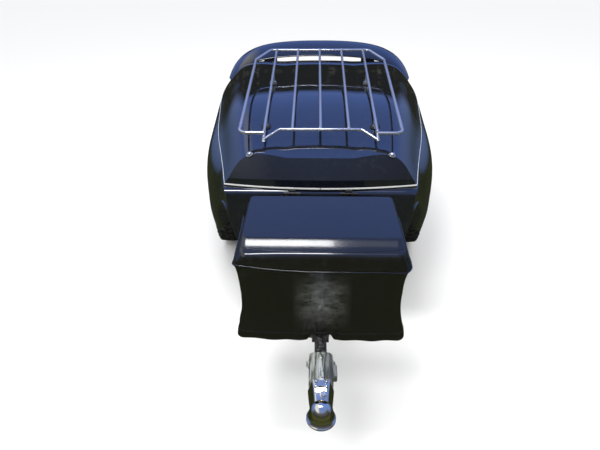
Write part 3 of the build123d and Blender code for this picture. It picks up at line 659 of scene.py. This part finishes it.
# ---- operators ----------------------------------------------------------------------------
class TRAILER_OT_stage(bpy.types.Operator):
    """Pale floor, soft lights, a plain sky to be mirrored, and the camera"""
    bl_idname = "trailer.stage"
    bl_label = "Stage"

    def sky(self):
        """White to the eye; glossy surfaces mirror a soft blue sky over dark ground."""
        world = bpy.data.worlds.new("soft_sky")
        bpy.context.scene.world = world
        world.use_nodes = True
        tree = world.node_tree
        tree.nodes.clear()
        out = tree.nodes.new("ShaderNodeOutputWorld")
        way = put(tree, "ShaderNodeTexCoord").outputs["Generated"]
        parts = put(tree, "ShaderNodeSeparateXYZ", {0: way})
        height = spread(tree, parts.outputs[2], -1.0, 1.0)
        rear = ramp(tree, height, [
            (0.0, (0.026, 0.030, 0.011)), (0.37, (0.034, 0.040, 0.016)), (0.43, (0.10, 0.15, 0.30)),
            (0.55, (0.19, 0.27, 0.55)), (0.65, (0.22, 0.34, 0.86)), (0.76, (0.20, 0.35, 0.98)),
            (0.88, (0.20, 0.36, 1.0)), (1.0, (0.22, 0.36, 0.95))])
        # dark trees low behind
        low = spread(tree, parts.outputs[2], 0.34, 0.42, 1.0, 0.0)
        width = math_node(tree, "ABSOLUTE", parts.outputs[0], 0.0)
        trees = math_node(tree, "MULTIPLY", low, spread(tree, width, 0.34, 0.50, 1.0, 0.0))
        leaves = spread(tree, noise_node(tree, way, 30.0, 6.0), 0.55, 0.75)
        shade = mix_colour(tree, leaves, (0.020, 0.021, 0.016), (0.11, 0.11, 0.09))
        behind = mix_colour(tree, trees, rear, shade)
        ahead = ramp(tree, height, [
            (0.0, (0.060, 0.070, 0.024)), (0.30, (0.085, 0.095, 0.040)), (0.49, (0.05, 0.055, 0.03)),
            (0.52, (0.06, 0.06, 0.07)), (0.74, (0.13, 0.13, 0.16)), (0.84, (0.24, 0.34, 0.70)),
            (1.0, (0.22, 0.36, 0.95))])
        side = spread(tree, parts.outputs[1], -0.25, 0.15)
        mirrored = mix_colour(tree, side, ahead, behind)
        # thin cloud, high on the left
        haze = math_node(tree, "MULTIPLY", spread(tree, parts.outputs[0], -0.50, -0.28, 1.0, 0.0),
                         spread(tree, parts.outputs[2], 0.45, 0.62))
        mirrored = mix_colour(tree, haze, mirrored, (1.0, 1.03, 1.1))
        path = put(tree, "ShaderNodeLightPath")
        shown = put(tree, "ShaderNodeBackground", {"Color": (1, 1, 1, 1), "Strength": 1.05})
        for ray, colour in (("Is Glossy Ray", mirrored), ("Is Camera Ray", (1, 1, 1, 1))):
            own = put(tree, "ShaderNodeBackground", {"Color": colour, "Strength": 1.0})
            shown = put(tree, "ShaderNodeMixShader", {
                0: path.outputs[ray], 1: shown.outputs[0], 2: own.outputs[0]})
        tree.links.new(shown.outputs[0], out.inputs[0])

    def softbox(self, name, place, target, size, power, mirrored=True):
        bpy.ops.object.light_add(type="AREA", location=place)
        lamp = bpy.context.view_layer.objects.active
        lamp.name = name
        lamp.data.shape = "RECTANGLE"
        lamp.data.size, lamp.data.size_y = size
        lamp.data.energy = power
        lamp.visible_glossy = mirrored
        lamp.visible_camera = False
        aim = Vector(target) - Vector(place)
        lamp.rotation_euler = aim.to_track_quat("-Z", "Y").to_euler()

    def execute(self, context):
        stage = context.scene.trailer_stage
        deselect()
        bpy.ops.mesh.primitive_plane_add(size=60)
        floor = context.view_layer.objects.active
        floor.name = "floor"
        new_finish("pale_floor", tuple(stage.floor), 0.9)
        floor.data.materials.append(FINISH["pale_floor"])
        floor.visible_glossy = False
        self.sky()
        self.softbox("key", (-0.75, at(-1.1), 2.9), (0, at(0.3), 0.7), (0.75, 0.5), 26, mirrored=False)
        for side, x, width, power in (
                ("left", -0.365, 0.77, 22), ("middle", 0.06, 0.08, 2.2), ("right", 0.37, 0.50, 0.45)):
            self.softbox(f"top_{side}", (x, at(0.39), 2.4), (x, at(0.39), 0), (width, 0.42), power)
        self.softbox("overhead", (0, at(1.2), 4.0), (0, at(1.2), 0), (4.5, 4.5), 50, mirrored=False)
        camera = bpy.data.cameras.new("camera")
        camera.lens = stage.lens
        camera.sensor_width = 36
        eye = linked("camera", camera)
        turn = Matrix.Rotation(stage.yaw, 4, "Z")
        turn = turn @ Matrix.Rotation(math.pi / 2 - stage.pitch, 4, "X")
        turn = turn @ Matrix.Rotation(stage.roll, 4, "Z")
        place = (stage.camera_aside, at(-stage.camera_ahead), stage.camera_height)
        eye.matrix_world = Matrix.Translation(place) @ turn
        context.scene.camera = eye
        context.scene.view_settings.view_transform = "Standard"
        return {"FINISHED"}


class TRAILER_OT_finishes(bpy.types.Operator):
    """Makes the materials and puts them on the solids"""
    bl_idname = "trailer.finishes"
    bl_label = "Finishes"

    def execute(self, context):
        speckle_group()
        wear_group()
        grain_group()
        look = context.scene.trailer_finish
        make_gloss_body(tuple(look.body))
        make_trim()
        make_rack_chrome(tuple(look.rack))
        make_coupler_chrome(tuple(look.coupler))
        make_paint("satin_black", (0.008, 0.008, 0.009), 0.42, 0.0)
        make_paint("frame_paint", (0.010, 0.010, 0.011), 0.34, 0.35)
        make_lens(tuple(look.lens))
        make_plain("blank_plate", (0.72, 0.72, 0.70), 0.35, amount=0.15)
        make_rubber()
        make_alloy()
        make_plain("hub_steel", (0.42, 0.42, 0.43), 0.32, 1.0, (0.2, 0.16, 0.12), 0.5)
        make_plain("cooler_plastic", (0.55, 0.55, 0.54), 0.45)
        make_vinyl(tuple(context.scene.trailer_cover.colour))
        make_plain("thread", (0.016, 0.016, 0.015), 0.6, amount=0.2, scale=400.0)
        make_plain("clear_lens", (0.75, 0.77, 0.78), 0.12, amount=0.1)
        for part in frame["record"]["subparts"]:
            mesh = NODES[part["node"]].data
            mesh.materials.clear()
            mesh.materials.append(FINISH[part["material_slot"]])
        return {"FINISHED"}


class TRAILER_OT_cover(bpy.types.Operator):
    """Vinyl cover over the cooler: top panel, band, piped seam, skirt and hem"""
    bl_idname = "trailer.cover"
    bl_label = "Cooler cover"

    def outline(self, half_x, half_y, corner):
        """Points round a rounded rectangle, evenly spaced, from the middle of the front."""
        x1, y1 = half_x - corner, half_y - corner
        arc, quarter = math.pi / 2 * corner, math.pi / 2
        runs = (                    # length, start and direction, or middle and first angle
            (x1, 0, -half_y, (1, 0)), (arc, x1, -y1, -quarter),
            (2 * y1, half_x, -y1, (0, 1)), (arc, x1, y1, 0.0),
            (2 * x1, x1, half_y, (-1, 0)), (arc, -x1, y1, quarter),
            (2 * y1, -half_x, y1, (0, -1)), (arc, -x1, -y1, 2 * quarter),
            (x1, -x1, -half_y, (1, 0)))
        total = sum(run[0] for run in runs)
        spots = []
        for k in range(self.COUNT):
            s = k / self.COUNT * total
            for length, x, y, way in runs:
                if s <= length:
                    break
                s -= length
            if isinstance(way, float):
                turn = way + s / corner
                spots.append((x + corner * math.cos(turn), y + corner * math.sin(turn)))
            else:
                spots.append((x + way[0] * s, y + way[1] * s))
        return spots

    # height, half width, distance of the front and of the rear, corner radius
    PROFILE = (
        (0.7408, 0.2170, 0.3490, 0.5810, 0.010), (0.7403, 0.2185, 0.3455, 0.5835, 0.012),
        (0.7390, 0.2198, 0.3420, 0.5850, 0.014), (0.7325, 0.2218, 0.3277, 0.5865, 0.017),
        (0.7268, 0.2236, 0.3152, 0.5878, 0.020), (0.7231, 0.2244, 0.3030, 0.5884, 0.022),
        (0.7215, 0.2249, 0.2975, 0.5890, 0.024), (0.7185, 0.2257, 0.2940, 0.5897, 0.026),
        (0.7130, 0.2274, 0.2905, 0.5903, 0.027), (0.7060, 0.2300, 0.2880, 0.5908, 0.028),
        (0.6970, 0.2338, 0.2860, 0.5914, 0.030), (0.6880, 0.2380, 0.2843, 0.5921, 0.030),
        (0.6790, 0.2415, 0.2830, 0.5928, 0.030), (0.6735, 0.2430, 0.2824, 0.5932, 0.030),
        (0.6700, 0.2430, 0.2824, 0.5932, 0.030), (0.6660, 0.2402, 0.2842, 0.5918, 0.029),
        (0.6520, 0.2366, 0.2870, 0.5900, 0.029), (0.6300, 0.2332, 0.2898, 0.5872, 0.030),
        (0.6000, 0.2310, 0.2918, 0.5852, 0.030), (0.5700, 0.2300, 0.2925, 0.5845, 0.030),
        (0.5400, 0.2290, 0.2925, 0.5845, 0.030), (0.5100, 0.2303, 0.2916, 0.5850, 0.030),
        (0.4850, 0.2338, 0.2896, 0.5870, 0.028), (0.4640, 0.2384, 0.2860, 0.5895, 0.026),
        (0.4490, 0.2415, 0.2838, 0.5908, 0.026), (0.4470, 0.2432, 0.2824, 0.5920, 0.026),
        (0.4370, 0.2450, 0.2816, 0.5930, 0.026), (0.4250, 0.2462, 0.2812, 0.5935, 0.026),
    )
    COUNT = 260

    def level(self, height):
        """Half width, front, rear and corner radius at one height."""
        rows = self.PROFILE
        height = max(rows[-1][0], min(rows[0][0], height))
        for above, below in zip(rows, rows[1:]):
            if height >= below[0]:
                break
        share = (above[0] - height) / (above[0] - below[0])
        return [a + (b - a) * share for a, b in zip(above[1:], below[1:])]

    def ring(self, heights, grow=0.0):
        """Points round the cover, each at its own height."""
        outlines, ring = {}, []
        for k, height in enumerate(heights):
            half_x, front, rear, corner = self.level(height)
            half_y = (rear - front) / 2
            if height not in outlines:
                outlines[height] = self.outline(half_x, half_y, corner)
            x, y = outlines[height][k]
            ring.append(self.shaped(x, y, height, half_x, half_y, at((front + rear) / 2), grow))
        return ring

    def shaped(self, x, y, height, half_x, half_y, middle, grow):
        """One point of the walls: seam raised at the left, wrinkles, hollow sides and a wavy hem."""
        across = x / half_x
        front = max(0.0, -y / half_y) ** 6
        below_bevel = clamp((0.722 - height) / 0.03)
        low = clamp((0.52 - height) / 0.09)
        skirt = clamp((0.672 - height) / 0.05) * (1 - low * 0.4)
        raised = below_bevel * max(0.0, 1 - skirt * 1.3)
        z = height + 0.023 * raised * front * max(0.0, -across) ** 2.2
        out = Vector((across, y / half_y, 0)).normalized()
        if abs(across) < 0.93 and abs(y) / half_y > 0.93:
            out = Vector((0, math.copysign(1, y), 0))
        elif abs(y) / half_y < 0.93:
            out = Vector((math.copysign(1, x), 0, 0))
        round_way = math.atan2(y / half_y, across)
        folds = 0.0020 * noise.noise(Vector((x * 14, y * 14, z * 22)))
        folds += 0.0012 * noise.noise(Vector((x * 40, y * 40, z * 34 + 9)))
        slant = noise.noise(Vector(((x * 0.5 + z) * 52, y * 10, (x - z * 0.5) * 7 + 4)))
        band = below_bevel * (1 - skirt) * 0.0030 * slant * front * max(0.15, min(1.0, 0.5 + across))
        gather = 0.0020 * low * math.sin(round_way * 23 + 5 * noise.noise(Vector((x * 6, y * 6, 1))))
        creases = 0.0016 * skirt * noise.noise(Vector(((x + z * 0.9) * 22, y * 12, (z - x * 0.6) * 9)))
        bulge = 0.004 * skirt * (1 - across ** 2) * front
        push = (folds * 0.8 + creases + gather + bulge) * below_bevel + band + grow
        push += 0.0006 * (1 - below_bevel) * noise.noise(Vector((x * 18, y * 18, 2)))
        if height < 0.446:
            z += 0.0016 * math.sin(round_way * 5 + 0.7) + 0.0012 * math.sin(round_way * 13)
            z -= 0.0075 * front * abs(across) ** 3
        if height < 0.456 and abs(y) / half_y > 0.9:
            over_tongue = clamp((0.037 - abs(x)) / 0.006)
            z += over_tongue * (0.456 - z) * 0.75
        return (x + out.x * push, middle + y + out.y * push, z)

    def skin(self, top):
        """The vinyl itself: top panel, bevel, band, skirt and hem."""
        half_x, front, rear, corner = self.PROFILE[0][1:]
        middle, half_y = at((front + rear) / 2), (rear - front) / 2
        shares = (0.16, 0.36, 0.56, 0.76, 0.90, 0.97)
        points, faces = [(0, middle, top)], []
        for share in shares:
            for x, y in self.outline(half_x * share, half_y * share, corner * share):
                edge = max(abs(x) / half_x, abs(y) / half_y)
                dent = 0.0012 * noise.noise(Vector((x * 7, y * 9, 3.0)))
                points.append((x, middle + y, top - 0.0002 + dent * (1 - edge)))
        for row in self.PROFILE:
            points += self.ring([row[0]] * self.COUNT)
        for k in range(self.COUNT):
            faces.append((0, 1 + k, 1 + (k + 1) % self.COUNT))
        for row in range(len(shares) + len(self.PROFILE) - 1):
            base = 1 + row * self.COUNT
            for k in range(self.COUNT):
                k2 = (k + 1) % self.COUNT
                faces.append((base + k, base + self.COUNT + k, base + self.COUNT + k2, base + k2))
        return mesh_piece("cooler_cover_vinyl", points, faces)

    def upper_heights(self):
        """Heights of the upper piping, which sags across the front."""
        heights = []
        for x, y in self.outline(0.23, 0.15, 0.026):
            share = clamp(0.5 + x / 0.44)
            heights.append(0.7262 - (0.0034 * math.sin(math.pi * share) ** 0.8 if y < -0.12 else 0.0))
        return heights

    def execute(self, context):
        size = context.scene.trailer_cover
        cover = self.skin(size.top)
        outward(cover)
        wall = cover.modifiers.new("wall", "SOLIDIFY")
        wall.thickness = 0.0022
        wall.offset = -1
        fine = cover.modifiers.new("fine", "SUBSURF")
        fine.levels = fine.render_levels = 1
        apply_modifiers(cover)
        smooth(cover, 60)
        close_up([cover], "cooler_cover_vinyl", "trailer", "cover_vinyl")
        lower = self.ring([size.seam] * self.COUNT, 0.0008)
        upper = self.ring(self.upper_heights(), 0.0002)
        piping = close_up([tube_round(lower, 0.0026), tube_round(upper, 0.0010)],
                          "cover_piping", "trailer", "cover_vinyl")
        rows = [stitches(self.ring([height] * self.COUNT, 0.0008), 0.0050, 0.0082, 0.0006)
                for height in (size.seam - 0.0068, 0.4505, 0.4535)]
        thread = close_up(rows, "cover_stitching", "trailer", "cover_vinyl", "thread")
        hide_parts("cooler_cover")
        return {"FINISHED"}


class TRAILER_OT_tyres(bpy.types.Operator):
    """Tyres with shaped sidewalls and a blocky tread"""
    bl_idname = "trailer.tyres"
    bl_label = "Tyres"

    def carcass(self, groove):
        """Tyre without its tread, turned about the X axis at the origin."""
        profile = [
            (0.0460, 0.1635), (0.0475, 0.1670), (0.0500, 0.1700), (0.0525, 0.1715), (0.0530, 0.1760),
            (0.0545, 0.1850), (0.0572, 0.1960), (0.0580, 0.2000), (0.0592, 0.2010), (0.0592, 0.2045),
            (0.0580, 0.2055), (0.0588, 0.2160), (0.0575, 0.2280), (0.0550, 0.2400), (0.0515, 0.2500),
            (0.0450, TYRE_RADIUS - 0.0030 - groove), (0.0300, TYRE_RADIUS - 0.0012 - groove),
            (0.0150, TYRE_RADIUS - 0.0003 - groove), (0.0, TYRE_RADIUS - groove),
        ]
        section = profile + [(-x, z) for x, z in reversed(profile[:-1])]
        section += [(-0.046, 0.156), (0.046, 0.156)]
        count = 96
        points, faces = [], []
        for k in range(count):
            turn = 2 * math.pi * k / count
            for x, radius in section:
                points.append((x, radius * math.sin(turn), radius * math.cos(turn)))
        rows = len(section)
        for k in range(count):
            for r in range(rows):
                a, b = k * rows + r, k * rows + (r + 1) % rows
                c, d = (k + 1) % count * rows + (r + 1) % rows, (k + 1) % count * rows + r
                faces.append((a, b, c, d))
        tyre = mesh_piece("tyre", points, faces)
        outward(tyre)
        smooth(tyre, 50)
        return tyre

    def block(self, x, width, length, skew, height, turn, base):
        """One tread block: a box with an inset top and skewed sides, bent to the crown."""
        piece = new_box((width, length, height), (x, 0, base + height / 2))
        enter_edit(piece, "FACE")
        pick_faces(piece, lambda c, n: n.z > 0.9)
        bpy.ops.mesh.inset(thickness=0.0016)
        leave_edit()
        for vertex in piece.data.vertices:
            share = (vertex.co.x - x) / width
            vertex.co.y += skew * share * length
            vertex.co.z -= 0.0030 * (abs(vertex.co.x) / 0.045) ** 2
        piece.matrix_world = Matrix.Rotation(turn, 4, "X")
        settle(piece)
        return piece

    def execute(self, context):
        size = context.scene.trailer_tyres
        base = self.carcass(size.groove)
        radius = TYRE_RADIUS - size.groove - 0.0015
        pitch = 2 * math.pi / size.blocks
        rows = ((-0.0395, 0.0190, 0.55, 0.25), (-0.0135, 0.0215, 0.62, -0.35),
                (0.0135, 0.0215, 0.62, 0.35), (0.0395, 0.0190, 0.55, -0.25))
        run = 2 * math.pi * TYRE_RADIUS / size.blocks
        first = []
        for index, (x, width, share, skew) in enumerate(rows):
            shift = 0.5 * pitch if index in (1, 2) else 0.0
            shift += 0.25 * pitch if index > 1 else 0.0
            first.append(self.block(x, width, run * share, skew, size.groove + 0.0015, shift, radius))
        blocks = join(first, "tread")
        copies = [base]
        for k in range(size.blocks):
            mesh = blocks.data.copy()
            mesh.transform(Matrix.Rotation(k * pitch, 4, "X"))
            copies.append(linked("block", mesh))
        bpy.data.objects.remove(blocks)
        tyre = join(copies, "tyre_tread")
        for side, _ in SIDES:
            low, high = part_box(f"tyre_{side}")
            copy = linked(f"tyre_{side}_tread", tyre.data.copy())
            copy.data.transform(Matrix.Translation((low + high) / 2))
            close_up([copy], f"tyre_{side}_tread", f"wheel_{side}", "tyre_rubber")
            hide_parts(f"tyre_{side}")
        bpy.data.objects.remove(tyre)
        return {"FINISHED"}


class TRAILER_OT_lid_trim(bpy.types.Operator):
    """Bolts on the lid, the joint of the bright strip, and the latch's lock"""
    bl_idname = "trailer.lid_trim"
    bl_label = "Lid trim"

    BOLTS = ((-0.252, 0.858), (0.252, 0.858))       # x and distance
    SCREWS_X = (-0.034, 0.034)                      # beside the lock

    def execute(self, context):
        bolts = studs("lid", self.BOLTS,
                      (0.0125, 0.003, 0.0012, {}), (0.0095, 0.006, 0.004, {"crown": 0.005}))
        close_up(bolts, "lid_bolts", "lid", "rack_chrome")
        low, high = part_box("lid_seal")
        joint = rounded_block((0.0035, 0.0040, 0.0094), (0, low.y + 0.0012, (low.z + high.z) / 2), 0.0008)
        close_up([joint], "strip_joint", "lid", "satin_black")
        low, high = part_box("lid_latch")
        middle = (low.z + high.z) / 2
        lock = [pin(0.0085, 0.003, (0, high.y + 0.0010, middle), (0, 1, 0), rim=0.0015),
                rounded_block((0.0016, 0.0016, 0.0080), (0, high.y + 0.0026, middle), 0.0004)]
        for x in self.SCREWS_X:
            lock.append(pin(0.0045, 0.003, (x, high.y - 0.0110, middle), (0, 1, 0), crown=0.002))
        close_up(lock, "latch_lock", "trailer", "hub_steel")
        return {"FINISHED"}


class TRAILER_OT_rack_details(bpy.types.Operator):
    """Weld beads where the rack's bars meet, and the nuts over its rubber feet"""
    bl_idname = "trailer.rack_details"
    bl_label = "Rack details"

    SLOPE = math.radians(7.7)
    FRONT = (0.929, 0.811)      # distance and height of the rack's front tube
    BARS = (-0.206, -0.1035, 0.0, 0.1035, 0.206)
    FEET = (1.035, 1.440)

    def spot(self, x, along, lift=0.0):
        """Point on the rack's tilted plane."""
        rise, run = math.sin(self.SLOPE), math.cos(self.SLOPE)
        y = at(self.FRONT[0]) + along * run - lift * rise
        return Vector((x, y, self.FRONT[1] + along * rise + lift * run))

    def execute(self, context):
        along = Vector((0, math.cos(self.SLOPE), math.sin(self.SLOPE)))
        beads = []
        for index, x in enumerate(self.BARS):
            beads.append(bead(0.0058, 0.0019, self.spot(x, 0.7930), along, index))
            if x not in (self.BARS[0], self.BARS[-1]):
                beads.append(bead(0.0056, 0.0018, self.spot(x, 0.0325), along, index + 7))
            else:
                beads.append(bead(0.0062, 0.0019, self.spot(x, 0.0080, -0.0020), along, index + 9))
                beads.append(bead(0.0062, 0.0019, self.spot(x, -0.0170, -0.0165), along, index + 11))
        close_up(beads, "rack_welds", "lid", "rack_chrome")
        nuts, pads = [], []
        for x in (self.BARS[0], self.BARS[-1]):
            for distance in self.FEET:
                bar = self.FRONT[1] + (distance - self.FRONT[0]) * math.tan(self.SLOPE)
                top = Vector((x, at(distance), bar - 0.032))
                nuts.append(pin(0.0125, 0.0016, top + Vector((0, 0, 0.0006)), rim=0.001))
                nuts.append(hexagon(0.0105, 0.0070, top + Vector((0, 0, 0.0045))))
                pads += studs("lid", [(x, distance)],
                              (0.0185, 0.0030, 0.0014, {"sides": 32, "rim": 0.0015}))
        close_up(nuts, "rack_nuts", "lid", "rack_chrome")
        close_up(pads, "rack_pads", "lid", "tyre_rubber")
        return {"FINISHED"}


class TRAILER_OT_rear_details(bpy.types.Operator):
    """Lamp screws and reflectors, plate lamp and plate bolts, hinge screws"""
    bl_idname = "trailer.rear_details"
    bl_label = "Rear details"

    LAMP_SCREWS_X = (-0.058, 0.058)                 # from the lamp's middle
    PLATE_HOLES = ((-0.073, -0.038), (-0.073, 0.038), (0.073, -0.038), (0.073, 0.038))
    HINGES_X, HINGE_FACE = (-0.1, 0.1), 0.7874
    HINGE_SCREWS_X = (-0.018, 0.018)                # from the hinge's middle

    def execute(self, context):
        screws, rims = [], []
        for side, _ in SIDES:
            low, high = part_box(f"tail_lamp_{side}")
            middle = (low + high) / 2
            for shift in self.LAMP_SCREWS_X:
                place, normal = surface_point(
                    f"tail_lamp_{side}", (middle.x + shift, high.y + 0.1, middle.z), (0, -1, 0))
                screws.append(pin(0.0042, 0.0026, place + normal * 0.0006, normal, crown=0.002))
            rims.append(pin(0.0220, 0.0016, (middle.x, high.y + 0.0002, middle.z), (0, 1, 0),
                            sides=48, rim=0.0018))
        low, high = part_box("plate")
        for x, z in self.PLATE_HOLES:
            place = (x, high.y + 0.0016, (low.z + high.z) / 2 + z)
            screws.append(hexagon(0.0052, 0.0034, place, (0, 1, 0)))
        low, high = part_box("hinge_bases")
        for x in self.HINGES_X:
            for shift in self.HINGE_SCREWS_X:
                place = (x + shift, at(self.HINGE_FACE), low.z + 0.0080)
                screws.append(pin(0.0042, 0.0024, place, (0, -1, 0), crown=0.002))
        close_up(screws, "screws", "trailer", "hub_steel")
        close_up(rims, "lamp_reflectors", "trailer", "red_lens")
        low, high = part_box("plate_bracket")
        glass = rounded_block((0.040, 0.012, 0.004), (0, high.y - 0.0065, high.z - 0.0215), 0.0012)
        close_up([glass], "plate_lamp", "trailer", "blank_plate", "clear_lens")
        return {"FINISHED"}


class TRAILER_OT_running_gear(bpy.types.Operator):
    """Wheel nuts, dust caps, valves, and the bolts of the axle, frame and parking leg"""
    bl_idname = "trailer.running_gear"
    bl_label = "Running gear"

    NUTS, NUT_CIRCLE = 5, 0.052
    AXLE_BOLTS = (1.355, 1.425)
    LEG_AT, LEG_BOLTS_Z = 0.780, (0.380, 0.388)
    RAILS_X, RAIL_TOP = (-0.3, 0.3), 0.4522
    RAIL_BOLTS = (1.0, 1.25, 1.75, 1.98)

    def execute(self, context):
        for side, sign in SIDES:
            out = Vector((sign, 0, 0))
            hub = Vector((sign * WHEEL_X, at(AXLE_AT), TYRE_RADIUS))
            nuts = []
            for k in range(self.NUTS):
                turn = 2 * math.pi * k / self.NUTS + 0.3
                shift = Vector((
                    sign * 0.0155, self.NUT_CIRCLE * math.sin(turn), self.NUT_CIRCLE * math.cos(turn)))
                nuts.append(hexagon(0.0105, 0.012, hub + shift, out))
            nuts.append(pin(0.0235, 0.010, hub + out * 0.0470, out, 40, crown=0.008))
            close_up(nuts, f"wheel_nuts_{side}", f"wheel_{side}", "hub_steel")
            way = Vector((sign * 0.55, 0, -0.83)).normalized()
            foot = hub + Vector((sign * 0.046, 0, 0.150))
            valve = [pin(0.0052, 0.010, foot + way * 0.004, way, crown=0.003),
                     pin(0.0036, 0.018, foot + way * 0.016, way, crown=0.002)]
            close_up(valve, f"valve_{side}", f"wheel_{side}", "tyre_rubber")
        bolts = []
        low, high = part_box("axle_brackets")
        for _, sign in SIDES:
            for distance in self.AXLE_BOLTS:
                place = (sign * (high.x + 0.003), at(distance), 0.382)
                bolts.append(hexagon(0.0085, 0.006, place, (sign, 0, 0)))
        low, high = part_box("leg_bracket")
        for z in self.LEG_BOLTS_Z:
            for x, way in ((high.x - 0.0045, 1), (low.x + 0.0045, -1)):
                bolts.append(hexagon(0.0065, 0.004, (x, at(self.LEG_AT), z), (way, 0, 0)))
        for x in self.RAILS_X:
            for distance in self.RAIL_BOLTS:
                bolts.append(pin(0.0090, 0.003, (x, at(distance), self.RAIL_TOP), crown=0.003))
        close_up(bolts, "frame_bolts", "trailer", "hub_steel")
        return {"FINISHED"}


class TRAILER_OT_coupler_details(bpy.types.Operator):
    """Clamp bolts, the adjusting nut and the latch's rivets on the coupler"""
    bl_idname = "trailer.coupler_details"
    bl_label = "Coupler details"

    CLAMP = (0.184, 0.427)                          # distance and height of its bolts
    NUT = (0.006, 0.066)                            # x and distance, like the rivets
    RIVETS = ((-0.0135, 0.100), (0.0135, 0.100), (-0.0135, 0.086), (0.0135, 0.086))
    LATCH_RIVETS = ((0, 0.128), (0, 0.170))

    def execute(self, context):
        parts = []
        for _, sign in SIDES:
            place = Vector((sign * 0.0362, at(self.CLAMP[0]), self.CLAMP[1]))
            parts.append(hexagon(0.0082, 0.0065, place, (sign, 0, 0)))
            place.x = sign * 0.0336
            parts.append(pin(0.0120, 0.0016, place, (sign, 0, 0), rim=0.001))
        start = (self.NUT[0], at(self.NUT[1]), ABOVE_ALL)
        place, normal = surface_point("coupler_housing", start, (0, 0, -1))
        parts.append(pin(0.0100, 0.0016, place + normal * 0.0006, normal, rim=0.001))
        parts.append(hexagon(0.0078, 0.0060, place + normal * 0.0040, normal))
        parts += studs("coupler_housing", self.RIVETS, (0.0040, 0.0030, 0.0012, {"crown": 0.002}))
        parts += studs("coupler_latch", self.LATCH_RIVETS, (0.0042, 0.0024, 0.0010, {"crown": 0.0018}))
        close_up(parts, "coupler_bolts", "coupler", "coupler_chrome")
        return {"FINISHED"}


class TRAILER_PT_panel(bpy.types.Panel):
    """Buttons for the trailer's pieces"""
    bl_label = "Cargo trailer"
    bl_idname = "TRAILER_PT_panel"
    bl_space_type = "VIEW_3D"
    bl_region_type = "UI"
    bl_category = "Trailer"

    def draw(self, context):
        for group_name in SETTINGS:
            box = self.layout.box()
            settings = getattr(context.scene, group_name)
            for key in settings.bl_rna.properties.keys():
                if key not in ("rna_type", "name"):
                    box.prop(settings, key)
        for operator in OPERATORS:
            self.layout.operator(operator.bl_idname)


SETTINGS = {
    "trailer_cover": CoverSettings,
    "trailer_tyres": TyreSettings,
    "trailer_finish": FinishSettings,
    "trailer_stage": StageSettings,
}
OPERATORS = (
    TRAILER_OT_stage,
    TRAILER_OT_finishes,
    TRAILER_OT_cover,
    TRAILER_OT_tyres,
    TRAILER_OT_lid_trim,
    TRAILER_OT_rack_details,
    TRAILER_OT_rear_details,
    TRAILER_OT_running_gear,
    TRAILER_OT_coupler_details,
)
KINDS = (*SETTINGS.values(), *OPERATORS, TRAILER_PT_panel)


def register():
    for kind in KINDS:
        bpy.utils.register_class(kind)
    for name, kind in SETTINGS.items():
        setattr(bpy.types.Scene, name, bpy.props.PointerProperty(type=kind))


def unregister():
    for name in SETTINGS:
        delattr(bpy.types.Scene, name)
    for kind in reversed(KINDS):
        bpy.utils.unregister_class(kind)


def main():
    register()
    for operator in OPERATORS:
        deselect()
        getattr(bpy.ops.trailer, operator.bl_idname.split(".")[1])()


if __name__ == "__main__":
    main()
